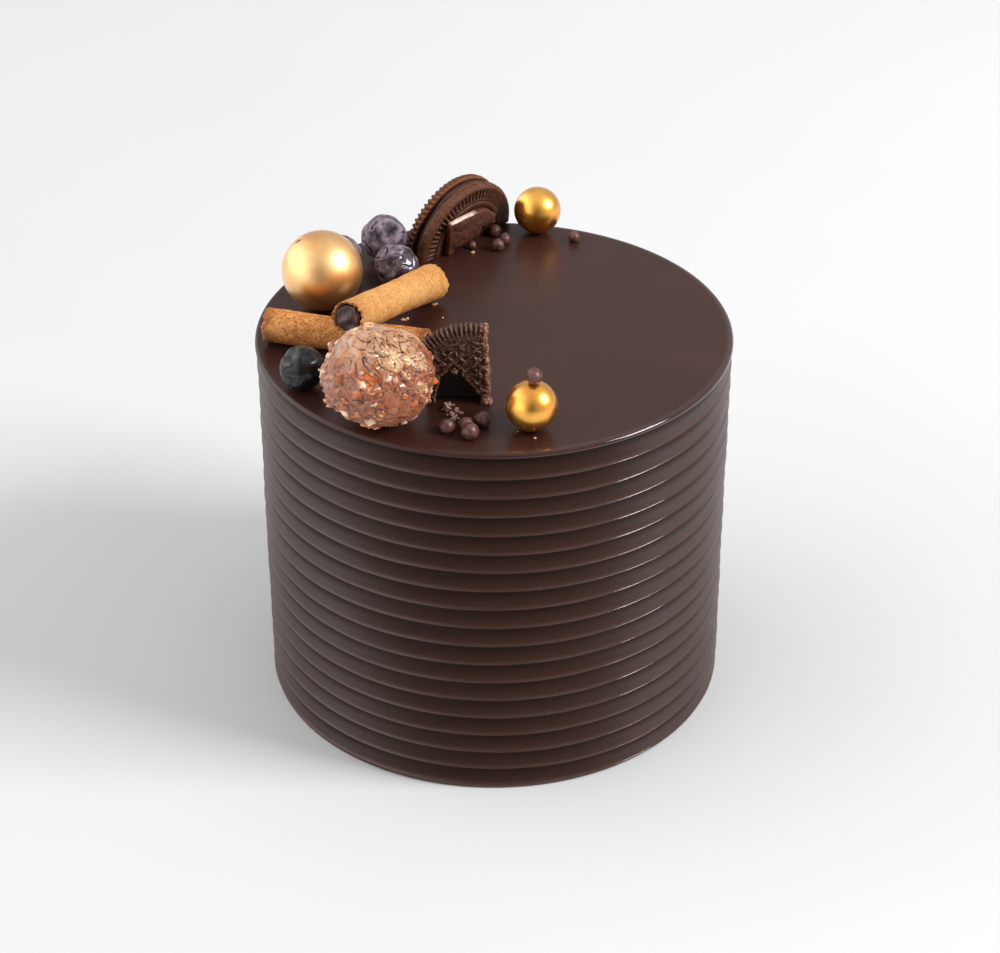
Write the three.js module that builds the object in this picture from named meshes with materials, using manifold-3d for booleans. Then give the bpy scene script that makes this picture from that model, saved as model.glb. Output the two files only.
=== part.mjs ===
// Tall round chocolate cake with combed sides, its flat top dressed with sweets, berries and cookies.
// Millimetres, Z up, origin at the centre of the flat base, front of the cake towards -Y.
import * as THREE from "three";
import { mergeVertices } from "three/addons/utils/BufferGeometryUtils.js";
import Module from "manifold-3d";

const wasm = await Module();
wasm.setup();

// Cake body
const CAKE_RADIUS = 75.2;
const CAKE_HEIGHT = 125;
const CAKE_SEGMENTS = 44;
const RIDGE_COUNT = 17;
const RIDGE_START = 1.45;
const RIDGE_PITCH = 6.76;
const SCOOP_DEPTH = 1.3;
const SCOOP_STATIONS = [
  [0.28, 0.54],
  [0.87, 0.9],
];
const RIDGE_SWAY = 0.15;
const RIDGE_DRIFT = 0.25;
const BASE_INSET = 0.5;
const LIP_FLARE = 0.3;
const LIP_ROUND = 1.0;
const LIP_STEPS = 3;

// Clearance between a topping and what it rests on
const REST_GAP = 0.12;
const LAYER_GAP = 0.3;

// Small chocolate pearls and chips, fused to the top
const PEARL_SINK = 0.4;
const PEARLS = [
  { x: -14.0, y: -62.5, r: 2.4 },
  { x: -7.2, y: -65.9, r: 2.7 },
  { x: -8.3, y: -61.0, r: 2.2 },
  { x: -3.7, y: -58.7, r: 2.5 },
  { x: 26.8, y: 60.9, r: 1.9 },
  { x: 0.1, y: 65.0, r: 2.2 },
  { x: 1.2, y: 54.6, r: 2.2 },
  { x: 3.5, y: 59.3, r: 2.1 },
  { x: -7.4, y: 55.8, r: 1.5 },
];
const CHIP_SIZE = 1.6;
const CHIP_COUNT = 6;
const CHIP_TRAIL = { from: [-14.4, -48.2], to: [-10.0, -57.6] };

// Gold coated balls
const GOLD_LARGE = { x: -54.8, y: 15.3, r: 12.9, columns: 20, rows: 14 };
const GOLD_BACK = { x: 14.6, y: 68.2, r: 7.9, columns: 16, rows: 12 };
const GOLD_FRONT = { x: 11.0, y: -60.4, r: 7.8, columns: 16, rows: 12 };
const CROWN_PEARL_RADIUS = 2.5;

// Berries, each with the direction that its crown faces
const BERRY_COLUMNS = 16;
const BERRY_ROWS = 11;
const BERRY_DIMPLE = 0.14;
const BERRY_RIM = 0.035;
const BERRIES = [
  { name: "blueberry_front", x: -58.1, y: -36.0, r: 7.0, crown: [-0.5, -0.2, 0.85] },
  { name: "blueberry_back_upper", x: -36.4, y: 48.6, r: 7.8, crown: [0.35, -0.6, 0.7] },
  { name: "blueberry_back_lower", x: -31.8, y: 29.8, r: 7.3, crown: [-0.35, -0.8, 0.45] },
  { name: "blueberry_behind_ball", x: -50.0, y: 36.0, r: 7.2, crown: [-0.6, 0.3, 0.75] },
];

// Praline rolled in chopped nuts
const PRALINE = { x: -34.2, y: -56.8, wide: 16.0, tall: 14.4, detail: 7 };
const NUT_COUNT = 64;
const NUT_HEIGHT = [0.35, 1.1];
const NUT_SPREAD = [0.11, 0.24];
const FLAKE_HEIGHT = 0.3;

// Rolled wafers and their chocolate filling
const ROLL_WALL = 1.3;
const ROLL_LIP = 0.4;
const ROLL_SEGMENTS = 22;
const ROLL_BORE_SEGMENTS = 16;
const ROLL_STEPS = 6;
const FILLING_RECESS = 0.9;
const ROLL_LOWER = { name: "wafer_roll_lower", from: [-71.4, -6.6], near: 5.4, far: 5.3, turn: 0.37 };
const ROLL_LOWER_END = [-20.2, -20.9];
const ROLL_UPPER = { name: "wafer_roll_upper", from: [-44.6, -32.3, 21.5], near: 5.3, far: 5.8, turn: 0.49 };
const ROLL_UPPER_END = [-19.9, 20.4];

// Sandwich cookies
const COOKIE_RADIUS = 21.4;
const COOKIE_TEETH = 88;
const TOOTH_DEPTH = 0.55;
const WAFER_THICK = 3.2;
const WAFER_BEVEL = 1.1;
const CREAM_THICK = 2.4;
const CREAM_RADIUS = 19.4;
const RELIEF_RAISE = 0.4;
const RING_OUTER = 17.8;
const RING_INNER = 16.9;

// Half cookie standing on its broken edge at the back
const HALF_CENTRE = [-9.1, 60.0];
const HALF_AZIMUTH = -43;
const HALF_LEAN = -9.6;

// Broken wafer fragment leaning on the half cookie's face
const FRAGMENT_THICK = 2.0;
const FRAGMENT_OUTLINE = [
  [-11.9, -1],
  [-10.2, -1],
  [-9.0, 2.6],
  [-4.5, 3.5],
  [-1.2, 4.2],
  [1.6, 5.1],
  [2.2, 7.3],
  [6.2, 6.5],
  [10.2, 5.4],
  [9.1, 9.8],
  [5.2, 12.6],
  [1.6, 13.7],
  [-5.0, 13.7],
  [-12.8, 13.3],
];

// Single broken wafer standing behind the praline
const SHARD_CENTRE_X = -6.9;
const SHARD_FRONT_Y = -46.4;
const SHARD_DISC_RISE = 5.1;
const SHARD_LEFT = -15.0;
const SHARD_LEFT_SLANT = 1.7;
const SHARD_RIGHT = 4.4;
const SHARD_TIP = 5.9;
const SHARD_ARCH = [
  [4.4, 0],
  [2.6, 3.2],
  [-0.2, 6.6],
  [-3.2, 10.4],
  [-6.8, 11.4],
  [-9.4, 9.0],
  [-10.5, 4.0],
  [-11.0, 0],
];
const SHARD_CREAM_INSET = 1.4;
const LATTICE_PITCH = 5.2;
const LATTICE_BAR = 1.1;

const FINISHES = {
  ganache: { color: 0x2f1b16, roughness: 0.45, metalness: 0 },
  gold: { color: 0xd9a85a, roughness: 0.3, metalness: 1 },
  berry: { color: 0x2b2438, roughness: 0.6, metalness: 0 },
  praline: { color: 0x8a5644, roughness: 0.55, metalness: 0 },
  wafer: { color: 0xb9803f, roughness: 0.8, metalness: 0 },
  filling: { color: 0x2a1510, roughness: 0.35, metalness: 0 },
  cookie: { color: 0x33211b, roughness: 0.85, metalness: 0 },
  cream: { color: 0x4a3026, roughness: 0.7, metalness: 0 },
};

// Repeatable random numbers from 0 to 1.
function randomFrom(seed) {
  let state = seed;
  return () => {
    state = (state + 0x6d2b79f5) | 0;
    let mixed = Math.imul(state ^ (state >>> 15), 1 | state);
    mixed = (mixed + Math.imul(mixed ^ (mixed >>> 7), 61 | mixed)) ^ mixed;
    return ((mixed ^ (mixed >>> 14)) >>> 0) / 4294967296;
  };
}

function between(random, range) {
  return range[0] + (range[1] - range[0]) * random();
}

// A geometry with one vertex at each place.
function welded(geometry) {
  const bare = geometry.clone();
  bare.deleteAttribute("normal");
  bare.deleteAttribute("uv");
  return mergeVertices(bare, 1e-4);
}

// A geometry as a solid for adding, cutting and keeping the common part.
function solidOf(geometry) {
  const merged = welded(geometry);
  return new wasm.Manifold(
    new wasm.Mesh({
      numProp: 3,
      vertProperties: new Float32Array(merged.attributes.position.array),
      triVerts: new Uint32Array(merged.index.array),
    }),
  );
}

// A solid back as geometry.
function geometryOf(solid) {
  const shape = solid.getMesh();
  const made = new THREE.BufferGeometry();
  made.setAttribute("position", new THREE.BufferAttribute(new Float32Array(shape.vertProperties), 3));
  made.setIndex(new THREE.BufferAttribute(new Uint32Array(shape.triVerts), 1));
  return made;
}

function named(name, geometry, finish) {
  const made = new THREE.Mesh(geometry, new THREE.MeshStandardMaterial(FINISHES[finish]));
  made.name = name;
  return made;
}

// Moves every vertex by a function of its place.
function reshape(geometry, move) {
  const places = geometry.attributes.position;
  const point = new THREE.Vector3();
  for (let i = 0; i < places.count; i += 1) {
    point.fromBufferAttribute(places, i);
    move(point);
    places.setXYZ(i, point.x, point.y, point.z);
  }
  return geometry;
}

// Lowers or lifts a geometry until its lowest point rests on the cake's top.
function restOnTop(geometry) {
  geometry.computeBoundingBox();
  geometry.translate(0, 0, CAKE_HEIGHT + REST_GAP - geometry.boundingBox.min.z);
  return geometry;
}

// Ball with its poles up and down, centred on the origin.
function ball(radius, columns, rows) {
  return welded(new THREE.SphereGeometry(radius, columns, rows)).rotateX(Math.PI / 2);
}

// Cake body: a turned profile of comb ridges, each deepest right under the edge above it.
function cakeProfile() {
  const points = [new THREE.Vector2(0, 0), new THREE.Vector2(CAKE_RADIUS - BASE_INSET, 0)];
  for (let k = 0; k <= RIDGE_COUNT; k += 1) {
    const low = RIDGE_START + k * RIDGE_PITCH;
    const high = k < RIDGE_COUNT ? low + RIDGE_PITCH : CAKE_HEIGHT - LIP_ROUND;
    points.push(new THREE.Vector2(CAKE_RADIUS, low));
    for (const [share, depth] of SCOOP_STATIONS) {
      points.push(new THREE.Vector2(CAKE_RADIUS - SCOOP_DEPTH * depth, low + share * (high - low)));
    }
  }
  const lip = CAKE_RADIUS + LIP_FLARE - LIP_ROUND;
  for (let i = 0; i <= LIP_STEPS; i += 1) {
    const turn = ((Math.PI / 2) * i) / LIP_STEPS;
    const rise = CAKE_HEIGHT - LIP_ROUND + LIP_ROUND * Math.sin(turn);
    points.push(new THREE.Vector2(lip + LIP_ROUND * Math.cos(turn), rise));
  }
  points.push(new THREE.Vector2(0, CAKE_HEIGHT));
  return points;
}

function cakeSolid() {
  const turned = welded(new THREE.LatheGeometry(cakeProfile(), CAKE_SEGMENTS)).rotateX(Math.PI / 2);
  const wallTop = CAKE_HEIGHT - 2 * LIP_ROUND;
  reshape(turned, (point) => {
    const radius = Math.hypot(point.x, point.y);
    if (radius < CAKE_RADIUS - 5 || point.z < 1 || point.z > wallTop) {
      return;
    }
    const angle = Math.atan2(point.y, point.x);
    const level = (point.z - RIDGE_START) / RIDGE_PITCH;
    const sway = RIDGE_SWAY * Math.sin(3 * angle + 1.1 * level) * Math.sin(2 * angle + 0.6 * level + 1);
    point.x *= 1 + sway / radius;
    point.y *= 1 + sway / radius;
    point.z += RIDGE_DRIFT * Math.sin(2 * angle + 0.45 * level);
  });
  let body = solidOf(turned);
  for (const pearl of PEARLS) {
    const grain = ball(pearl.r, 8, 5).translate(pearl.x, pearl.y, CAKE_HEIGHT + pearl.r - PEARL_SINK);
    body = body.add(solidOf(grain));
  }
  const random = randomFrom(11);
  for (let i = 0; i < CHIP_COUNT; i += 1) {
    const along = i / (CHIP_COUNT - 1);
    const size = CHIP_SIZE * (0.75 + 0.45 * random());
    const chip = new THREE.OctahedronGeometry(size, 0).scale(1, 0.7, 0.8);
    chip.rotateZ(Math.PI * random()).rotateX(0.6 * random());
    const x = CHIP_TRAIL.from[0] + (CHIP_TRAIL.to[0] - CHIP_TRAIL.from[0]) * along + 1.2 * (random() - 0.5);
    const y = CHIP_TRAIL.from[1] + (CHIP_TRAIL.to[1] - CHIP_TRAIL.from[1]) * along;
    body = body.add(solidOf(chip.translate(x, y, CAKE_HEIGHT + 0.45 * size)));
  }
  return body;
}

// Gold balls
function goldBall(spec) {
  return restOnTop(ball(spec.r, spec.columns, spec.rows).translate(spec.x, spec.y, CAKE_HEIGHT + spec.r));
}

function goldBallWithPearl(spec) {
  const rise = CAKE_HEIGHT + REST_GAP + 2 * spec.r + CROWN_PEARL_RADIUS - PEARL_SINK;
  const pearl = ball(CROWN_PEARL_RADIUS, 8, 6).translate(spec.x + 0.6, spec.y, rise);
  return geometryOf(solidOf(goldBall(spec)).add(solidOf(pearl)));
}

// Berry: a slightly flattened ball with a dimpled crown of five lobes.
function berry(spec, seed) {
  const random = randomFrom(seed);
  const phase = Math.PI * 2 * random();
  const shape = welded(new THREE.SphereGeometry(1, BERRY_COLUMNS, BERRY_ROWS));
  reshape(shape, (point) => {
    const polar = Math.acos(Math.min(1, Math.max(-1, point.y)));
    const around = Math.atan2(point.z, point.x);
    const dimple = BERRY_DIMPLE * Math.exp(-((polar / 0.33) ** 2));
    const lobes = BERRY_RIM * (1 + 0.6 * Math.cos(5 * around)) * Math.exp(-(((polar - 0.52) / 0.2) ** 2));
    const uneven = 0.018 * Math.sin(3 * around + phase) * Math.sin(2 * polar);
    point.multiplyScalar(spec.r * (1 - dimple + lobes + uneven));
    point.y *= 0.95;
  });
  const facing = new THREE.Vector3(...spec.crown).normalize();
  const turn = new THREE.Quaternion().setFromUnitVectors(new THREE.Vector3(0, 1, 0), facing);
  shape.applyQuaternion(turn);
  return restOnTop(shape.translate(spec.x, spec.y, CAKE_HEIGHT + spec.r));
}

// Praline: a ball with raised nut pieces and shallow flakes.
function praline(spec) {
  const random = randomFrom(29);
  const nuts = [];
  for (let i = 0; i < NUT_COUNT; i += 1) {
    const rise = 2 * random() - 1;
    const turn = Math.PI * 2 * random();
    const flat = Math.sqrt(1 - rise * rise);
    const facing = new THREE.Vector3(flat * Math.cos(turn), flat * Math.sin(turn), rise);
    nuts.push({ facing, height: between(random, NUT_HEIGHT), spread: between(random, NUT_SPREAD) });
  }
  const shape = welded(new THREE.IcosahedronGeometry(1, spec.detail));
  reshape(shape, (point) => {
    point.normalize();
    let raise = FLAKE_HEIGHT * Math.sin(9 * point.x + 6 * point.z) * Math.sin(8 * point.y - 5 * point.x);
    for (const nut of nuts) {
      const apart = point.angleTo(nut.facing) / nut.spread;
      raise = Math.max(raise, nut.height * Math.exp(-(apart ** 4)));
    }
    point.set(
      point.x * (spec.wide + raise),
      point.y * (spec.wide + raise),
      point.z * (spec.tall + raise),
    );
  });
  return restOnTop(shape.translate(spec.x, spec.y, CAKE_HEIGHT + spec.tall));
}

// Rolled wafer: a tube with an outer lip where the sheet ends, lying along its line.
function rollOutline(radius) {
  const points = [];
  for (let i = 0; i <= ROLL_SEGMENTS; i += 1) {
    const turn = (Math.PI * 2 * i) / ROLL_SEGMENTS - (i === ROLL_SEGMENTS ? 0.06 : 0);
    const reach = radius - ROLL_LIP * (1 - i / ROLL_SEGMENTS);
    points.push(new THREE.Vector2(reach * Math.cos(turn), reach * Math.sin(turn)));
  }
  return points;
}

function circleOutline(radius, segments) {
  const points = [];
  for (let i = 0; i < segments; i += 1) {
    const turn = (Math.PI * 2 * i) / segments;
    points.push(new THREE.Vector2(radius * Math.cos(turn), radius * Math.sin(turn)));
  }
  return points;
}

// Widens a rod that runs along Z from the near radius to the far radius.
function widen(geometry, spec, length) {
  return reshape(geometry, (point) => {
    const share = point.z / length;
    const factor = 1 + (spec.far / spec.near - 1) * share;
    const flare = 1 + 0.02 * Math.sin(9 * share) + 0.03 * (2 * share - 1) ** 6;
    point.x *= factor * flare;
    point.y *= factor * flare;
  });
}

// Turns a rod from Z to its line and moves its near end into place, the lip turned by a roll angle.
function layRod(geometry, start, finish, roll) {
  const along = new THREE.Vector3().subVectors(finish, start).normalize();
  const turn = new THREE.Quaternion().setFromUnitVectors(new THREE.Vector3(0, 0, 1), along);
  return geometry.rotateZ(roll).applyQuaternion(turn).translate(start.x, start.y, start.z);
}

function rollPieces(spec, start, finish, roll) {
  const length = start.distanceTo(finish);
  const outline = new THREE.Shape(rollOutline(spec.near));
  const bore = spec.near - ROLL_LIP - ROLL_WALL + 0.3;
  outline.holes.push(new THREE.Path(circleOutline(bore, ROLL_BORE_SEGMENTS).reverse()));
  const tube = new THREE.ExtrudeGeometry(outline, { depth: length, steps: ROLL_STEPS, bevelEnabled: false });
  const core = new THREE.Shape(circleOutline(bore - LAYER_GAP, ROLL_BORE_SEGMENTS));
  const filling = new THREE.ExtrudeGeometry(core, { depth: length, steps: ROLL_STEPS, bevelEnabled: false });
  widen(tube, spec, length);
  widen(filling, spec, length);
  reshape(filling, (point) => {
    point.z = FILLING_RECESS + (point.z * (length - 2 * FILLING_RECESS)) / length;
  });
  return [
    named(spec.name, layRod(tube, start, finish, roll), "wafer"),
    named(spec.name + "_filling", layRod(filling, start, finish, roll), "filling"),
  ];
}

// Outline of a round wafer with a toothed rim, from one angle to another about its centre.
function toothedArc(radius, from, to) {
  const step = Math.PI / COOKIE_TEETH;
  const points = [];
  const first = Math.ceil(from / step);
  const last = Math.floor(to / step);
  for (let i = first; i <= last; i += 1) {
    const reach = radius - (i % 2 === 0 ? 0 : TOOTH_DEPTH);
    points.push(new THREE.Vector2(reach * Math.cos(i * step), reach * Math.sin(i * step)));
  }
  return points;
}

function slab(outline, depth) {
  return new THREE.ExtrudeGeometry(outline, { depth, bevelEnabled: false, curveSegments: 16 });
}

// Raised plain ring on the face of a wafer.
function faceRing(face) {
  const ring = new THREE.Shape(circleOutline(RING_OUTER, 48));
  ring.holes.push(new THREE.Path(circleOutline(RING_INNER, 48).reverse()));
  return solidOf(slab(ring, RELIEF_RAISE + 0.2).translate(0, 0, face - 0.2));
}

// Round wafer with a toothed rim that slopes in towards its outer face.
function wafer() {
  const outline = new THREE.Shape(toothedArc(COOKIE_RADIUS, 0, Math.PI * 2 - 0.02));
  const disc = new THREE.ExtrudeGeometry(outline, { depth: WAFER_THICK, steps: 2, bevelEnabled: false });
  return reshape(disc, (point) => {
    const outer = point.z > 0.9 * WAFER_THICK;
    const middle = !outer && point.z > 0.1 * WAFER_THICK;
    const factor = outer ? 1 - WAFER_BEVEL / COOKIE_RADIUS : 1;
    point.x *= factor;
    point.y *= factor;
    point.z = middle ? WAFER_THICK - WAFER_BEVEL : point.z;
  });
}

// Half cookie and its fragment: layers on one leaning axis, all cut off level with the cake's top.
function halfCookie() {
  const azimuth = THREE.MathUtils.degToRad(HALF_AZIMUTH);
  const lean = THREE.MathUtils.degToRad(HALF_LEAN);
  const side = new THREE.Vector3(-Math.sin(azimuth), Math.cos(azimuth), 0);
  const front = new THREE.Vector3(
    Math.cos(azimuth) * Math.cos(lean),
    Math.sin(azimuth) * Math.cos(lean),
    Math.sin(lean),
  );
  const rise = new THREE.Vector3().crossVectors(front, side);
  const frame = new THREE.Matrix4().makeBasis(side, rise, front);
  frame.setPosition(HALF_CENTRE[0], HALF_CENTRE[1], CAKE_HEIGHT);
  const above = new THREE.BoxGeometry(120, 120, 60).translate(
    HALF_CENTRE[0],
    HALF_CENTRE[1],
    CAKE_HEIGHT + REST_GAP + 30,
  );
  const keep = solidOf(above);
  const round = new THREE.Shape(circleOutline(CREAM_RADIUS, 44));
  const frontWafer = solidOf(wafer().translate(0, 0, -WAFER_THICK)).add(faceRing(0));
  const creamBack = -WAFER_THICK - LAYER_GAP - CREAM_THICK;
  const backWafer = wafer().rotateX(Math.PI).translate(0, 0, creamBack - LAYER_GAP);
  const fragment = new THREE.Shape(FRAGMENT_OUTLINE.map(([x, y]) => new THREE.Vector2(x, y)));
  const standOff = RELIEF_RAISE + LAYER_GAP;
  const layers = [
    ["cookie_half_wafer_front", frontWafer, "cookie"],
    ["cookie_half_cream", solidOf(slab(round, CREAM_THICK).translate(0, 0, creamBack)), "cream"],
    ["cookie_half_wafer_back", solidOf(backWafer), "cookie"],
    ["cookie_fragment", solidOf(slab(fragment, FRAGMENT_THICK).translate(0, 0, standOff)), "cookie"],
  ];
  return layers.map(([name, layer, finish]) => {
    const stood = solidOf(geometryOf(layer).applyMatrix4(frame));
    return named(name, geometryOf(stood.intersect(keep)), finish);
  });
}

// Broken wafer: part of a disc with a bite-shaped break below, and a raised lattice on its face.
function shardOutline() {
  const start = Math.acos(SHARD_RIGHT / COOKIE_RADIUS);
  const finish = Math.acos(SHARD_LEFT / COOKIE_RADIUS);
  const points = [new THREE.Vector2(SHARD_TIP, REST_GAP)];
  for (const rim of toothedArc(COOKIE_RADIUS, start, finish)) {
    points.push(new THREE.Vector2(rim.x, rim.y + SHARD_DISC_RISE));
  }
  points.push(new THREE.Vector2(SHARD_LEFT + SHARD_LEFT_SLANT, 12));
  points.push(new THREE.Vector2(SHARD_LEFT + SHARD_LEFT_SLANT, REST_GAP));
  for (const [x, y] of [...SHARD_ARCH].reverse()) {
    points.push(new THREE.Vector2(x, y + REST_GAP));
  }
  return new THREE.Shape(points);
}

function shard() {
  const outline = shardOutline();
  const body = solidOf(slab(outline, WAFER_THICK));
  const reach = COOKIE_RADIUS * 2;
  let bars = faceRing(WAFER_THICK);
  const inner = solidOf(slab(new THREE.Shape(circleOutline(RING_INNER + 0.2, 40)), 10));
  for (const slant of [-0.75, 0.75]) {
    for (let i = -3; i <= 3; i += 1) {
      const bar = new THREE.BoxGeometry(LATTICE_BAR, reach, RELIEF_RAISE + 0.2);
      bar.translate(i * LATTICE_PITCH, 0, WAFER_THICK + RELIEF_RAISE / 2 - 0.1).rotateZ(slant);
      bars = bars.add(solidOf(bar).intersect(inner));
    }
  }
  const lifted = solidOf(geometryOf(bars).translate(0, SHARD_DISC_RISE, 0));
  const relief = lifted.intersect(solidOf(slab(outline, WAFER_THICK + 2)));
  return geometryOf(body.add(relief)).applyMatrix4(shardFrame());
}

// From the broken wafer's own frame, its face up, to its place on the cake.
function shardFrame() {
  const frame = new THREE.Matrix4().makeBasis(
    new THREE.Vector3(1, 0, 0),
    new THREE.Vector3(0, 0, 1),
    new THREE.Vector3(0, -1, 0),
  );
  return frame.setPosition(SHARD_CENTRE_X, SHARD_FRONT_Y + WAFER_THICK, CAKE_HEIGHT);
}

// Cream on the back of the broken wafer, which closes the break below.
function shardCream() {
  const left = SHARD_LEFT + SHARD_LEFT_SLANT + SHARD_CREAM_INSET;
  const right = SHARD_RIGHT - SHARD_CREAM_INSET;
  const start = Math.acos(right / CREAM_RADIUS);
  const finish = Math.acos(left / CREAM_RADIUS);
  const points = [new THREE.Vector2(left, REST_GAP), new THREE.Vector2(right, REST_GAP)];
  for (let i = 0; i <= 12; i += 1) {
    const turn = start + ((finish - start) * i) / 12;
    points.push(new THREE.Vector2(
      CREAM_RADIUS * Math.cos(turn),
      CREAM_RADIUS * Math.sin(turn) + SHARD_DISC_RISE,
    ));
  }
  const layer = slab(new THREE.Shape(points), CREAM_THICK);
  return layer.translate(0, 0, -LAYER_GAP - CREAM_THICK).applyMatrix4(shardFrame());
}

const cake = new THREE.Group();
cake.name = "cookies_and_cream_cake";
cake.add(named("cake_body", geometryOf(cakeSolid()), "ganache"));
cake.add(named("gold_ball_large", goldBall(GOLD_LARGE), "gold"));
cake.add(named("gold_ball_back", goldBall(GOLD_BACK), "gold"));
cake.add(named("gold_ball_front", goldBallWithPearl(GOLD_FRONT), "gold"));
BERRIES.forEach((spec, i) => cake.add(named(spec.name, berry(spec, 40 + i), "berry")));
cake.add(named("hazelnut_praline", praline(PRALINE), "praline"));

const lowerRise = CAKE_HEIGHT + REST_GAP + ROLL_LOWER.far * 1.04;
const lowerStart = new THREE.Vector3(ROLL_LOWER.from[0], ROLL_LOWER.from[1], lowerRise);
const lowerEnd = new THREE.Vector3(ROLL_LOWER_END[0], ROLL_LOWER_END[1], lowerRise);
rollPieces(ROLL_LOWER, lowerStart, lowerEnd, ROLL_LOWER.turn).forEach((piece) => cake.add(piece));
const upperStart = new THREE.Vector3(ROLL_UPPER.from[0], ROLL_UPPER.from[1], CAKE_HEIGHT + ROLL_UPPER.from[2]);
const upperRise = CAKE_HEIGHT + REST_GAP + ROLL_UPPER.far * 1.04;
const upperEnd = new THREE.Vector3(ROLL_UPPER_END[0], ROLL_UPPER_END[1], upperRise);
rollPieces(ROLL_UPPER, upperStart, upperEnd, ROLL_UPPER.turn).forEach((piece) => cake.add(piece));

halfCookie().forEach((piece) => cake.add(piece));
cake.add(named("cookie_shard", shard(), "cookie"));
cake.add(named("cookie_shard_cream", shardCream(), "cream"));

export default cake;
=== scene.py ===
"""Cookies and cream cake: a tall round cake in dark chocolate, combed round the side and dressed on top."""

import itertools
import logging
import math
from dataclasses import dataclass, replace
from enum import Enum
from typing import Any, Callable, Iterator, Optional, Sequence, Union

import bpy
import numpy as np
from mathutils import Matrix, Vector


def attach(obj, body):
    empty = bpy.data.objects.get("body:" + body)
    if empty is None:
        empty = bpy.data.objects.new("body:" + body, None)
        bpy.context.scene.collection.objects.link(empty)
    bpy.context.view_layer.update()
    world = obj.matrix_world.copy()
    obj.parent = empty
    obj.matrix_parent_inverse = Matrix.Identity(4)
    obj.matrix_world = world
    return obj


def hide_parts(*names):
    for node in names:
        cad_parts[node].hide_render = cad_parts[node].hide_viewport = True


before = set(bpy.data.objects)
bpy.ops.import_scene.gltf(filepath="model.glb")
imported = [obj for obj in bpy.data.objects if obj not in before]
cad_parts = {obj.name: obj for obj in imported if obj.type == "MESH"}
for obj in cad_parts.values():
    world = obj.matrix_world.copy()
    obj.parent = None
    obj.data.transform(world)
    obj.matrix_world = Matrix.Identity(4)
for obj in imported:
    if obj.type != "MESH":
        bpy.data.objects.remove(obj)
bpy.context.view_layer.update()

LOG = logging.getLogger("cake")
BODY = "root"

# A millimetre in metres
MM = 0.001

# Millimetres: height of the cake's top, gap under what rests on it, reach within which vertices merge
TOP = 125.0
REST_GAP = 0.12
WELD = 0.002

# What mixes the random values
WORD = 0xFFFFFFFF
DRAW_STEP = 0x6D2B79F5
HASH_FACTORS = np.array([73856093, 19349663, 83492791])
HASH_MIX = 1274126177

Colour = tuple[float, float, float, float]
Point = tuple[float, float, float]
Flat = tuple[float, float]
Moves = Callable[[np.ndarray], np.ndarray]


class Slot(Enum):
    """Material slots of the record."""

    GANACHE = "ganache"
    GOLD = "gold_coating"
    BERRY = "blueberry"
    PRALINE = "praline"
    WAFER = "rolled_wafer"
    FILLING = "roll_filling"
    COOKIE = "cookie"
    CREAM = "cookie_cream"


def tint(red: float, green: float, blue: float) -> Colour:
    """Turn a screen colour into linear light.

    Args:
        red: Red from 0 to 255.
        green: Green from 0 to 255.
        blue: Blue from 0 to 255.

    Returns:
        The linear colour with full alpha.
    """
    shares = [value / 255 for value in (red, green, blue)]
    bent = [s / 12.92 if s <= 0.04045 else ((s + 0.055) / 1.055) ** 2.4 for s in shares]
    return bent[0], bent[1], bent[2], 1.0


def draws(seed: int) -> Iterator[float]:
    """Give the same run of numbers from 0 to 1 as the part's own source.

    Args:
        seed: Where the run starts.

    Returns:
        An endless run of numbers.
    """
    state = seed
    while True:
        state = (state + DRAW_STEP) & WORD
        mixed = ((state ^ (state >> 15)) * (1 | state)) & WORD
        mixed = ((mixed + ((mixed ^ (mixed >> 7)) * (61 | mixed))) & WORD) ^ mixed
        yield ((mixed ^ (mixed >> 14)) & WORD) / (WORD + 1)


def unevenness(places: np.ndarray, size: float, seed: int, octaves: int = 1) -> np.ndarray:
    """Smooth random values over space.

    Args:
        places: Points, one a row.
        size: Width of the largest lumps, in the points' unit.
        seed: Which pattern.
        octaves: How many finer patterns are added.

    Returns:
        One value a point, from about -1 to 1.
    """
    total = np.zeros(len(places))
    share, whole = 1.0, 0.0
    for octave in range(octaves):
        cells = places / size * 2**octave + 31.7 * (seed + 1) + 5.3 * octave
        low = np.floor(cells).astype(np.int64)
        part = cells - low
        ease = part * part * (3 - 2 * part)
        for corner in itertools.product((0, 1), repeat=3):
            key = low + np.array(corner)
            mixed = np.bitwise_xor.reduce(key * HASH_FACTORS, axis=1)
            mixed = (mixed + 977 * seed) & WORD
            mixed = ((mixed ^ (mixed >> 13)) * HASH_MIX) & WORD
            value = ((mixed ^ (mixed >> 16)) & 0xFFFF) / 32767.5 - 1
            total += share * value * np.prod(np.where(corner, ease, 1 - ease), axis=1)
        whole += share
        share *= 0.5
    return total / whole


def ramp(values: np.ndarray, low: float, high: float) -> np.ndarray:
    """Ease from 0 to 1 as the values go from low to high.

    Args:
        values: The values.
        low: Where the rise starts.
        high: Where it ends.

    Returns:
        The eased shares.
    """
    share = np.clip((values - low) / (high - low), 0, 1)
    return share * share * (3 - 2 * share)


def unit(way: Point) -> np.ndarray:
    """A direction at length 1."""
    return np.array(Vector(way).normalized())


def unit_rows(rows: np.ndarray) -> np.ndarray:
    """Directions at length 1, one a row."""
    return rows / np.linalg.norm(rows, axis=1, keepdims=True)


def rested(places: np.ndarray) -> np.ndarray:
    """Places let down or lifted until the lowest rests on the cake."""
    return places + np.array([0.0, 0.0, TOP + REST_GAP - places[:, 2].min()])


def widened(places: np.ndarray, factor: np.ndarray) -> np.ndarray:
    """Places moved out from the upright axis by a factor each."""
    return places * np.stack([factor, factor, np.ones(len(factor))], axis=1)


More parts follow.
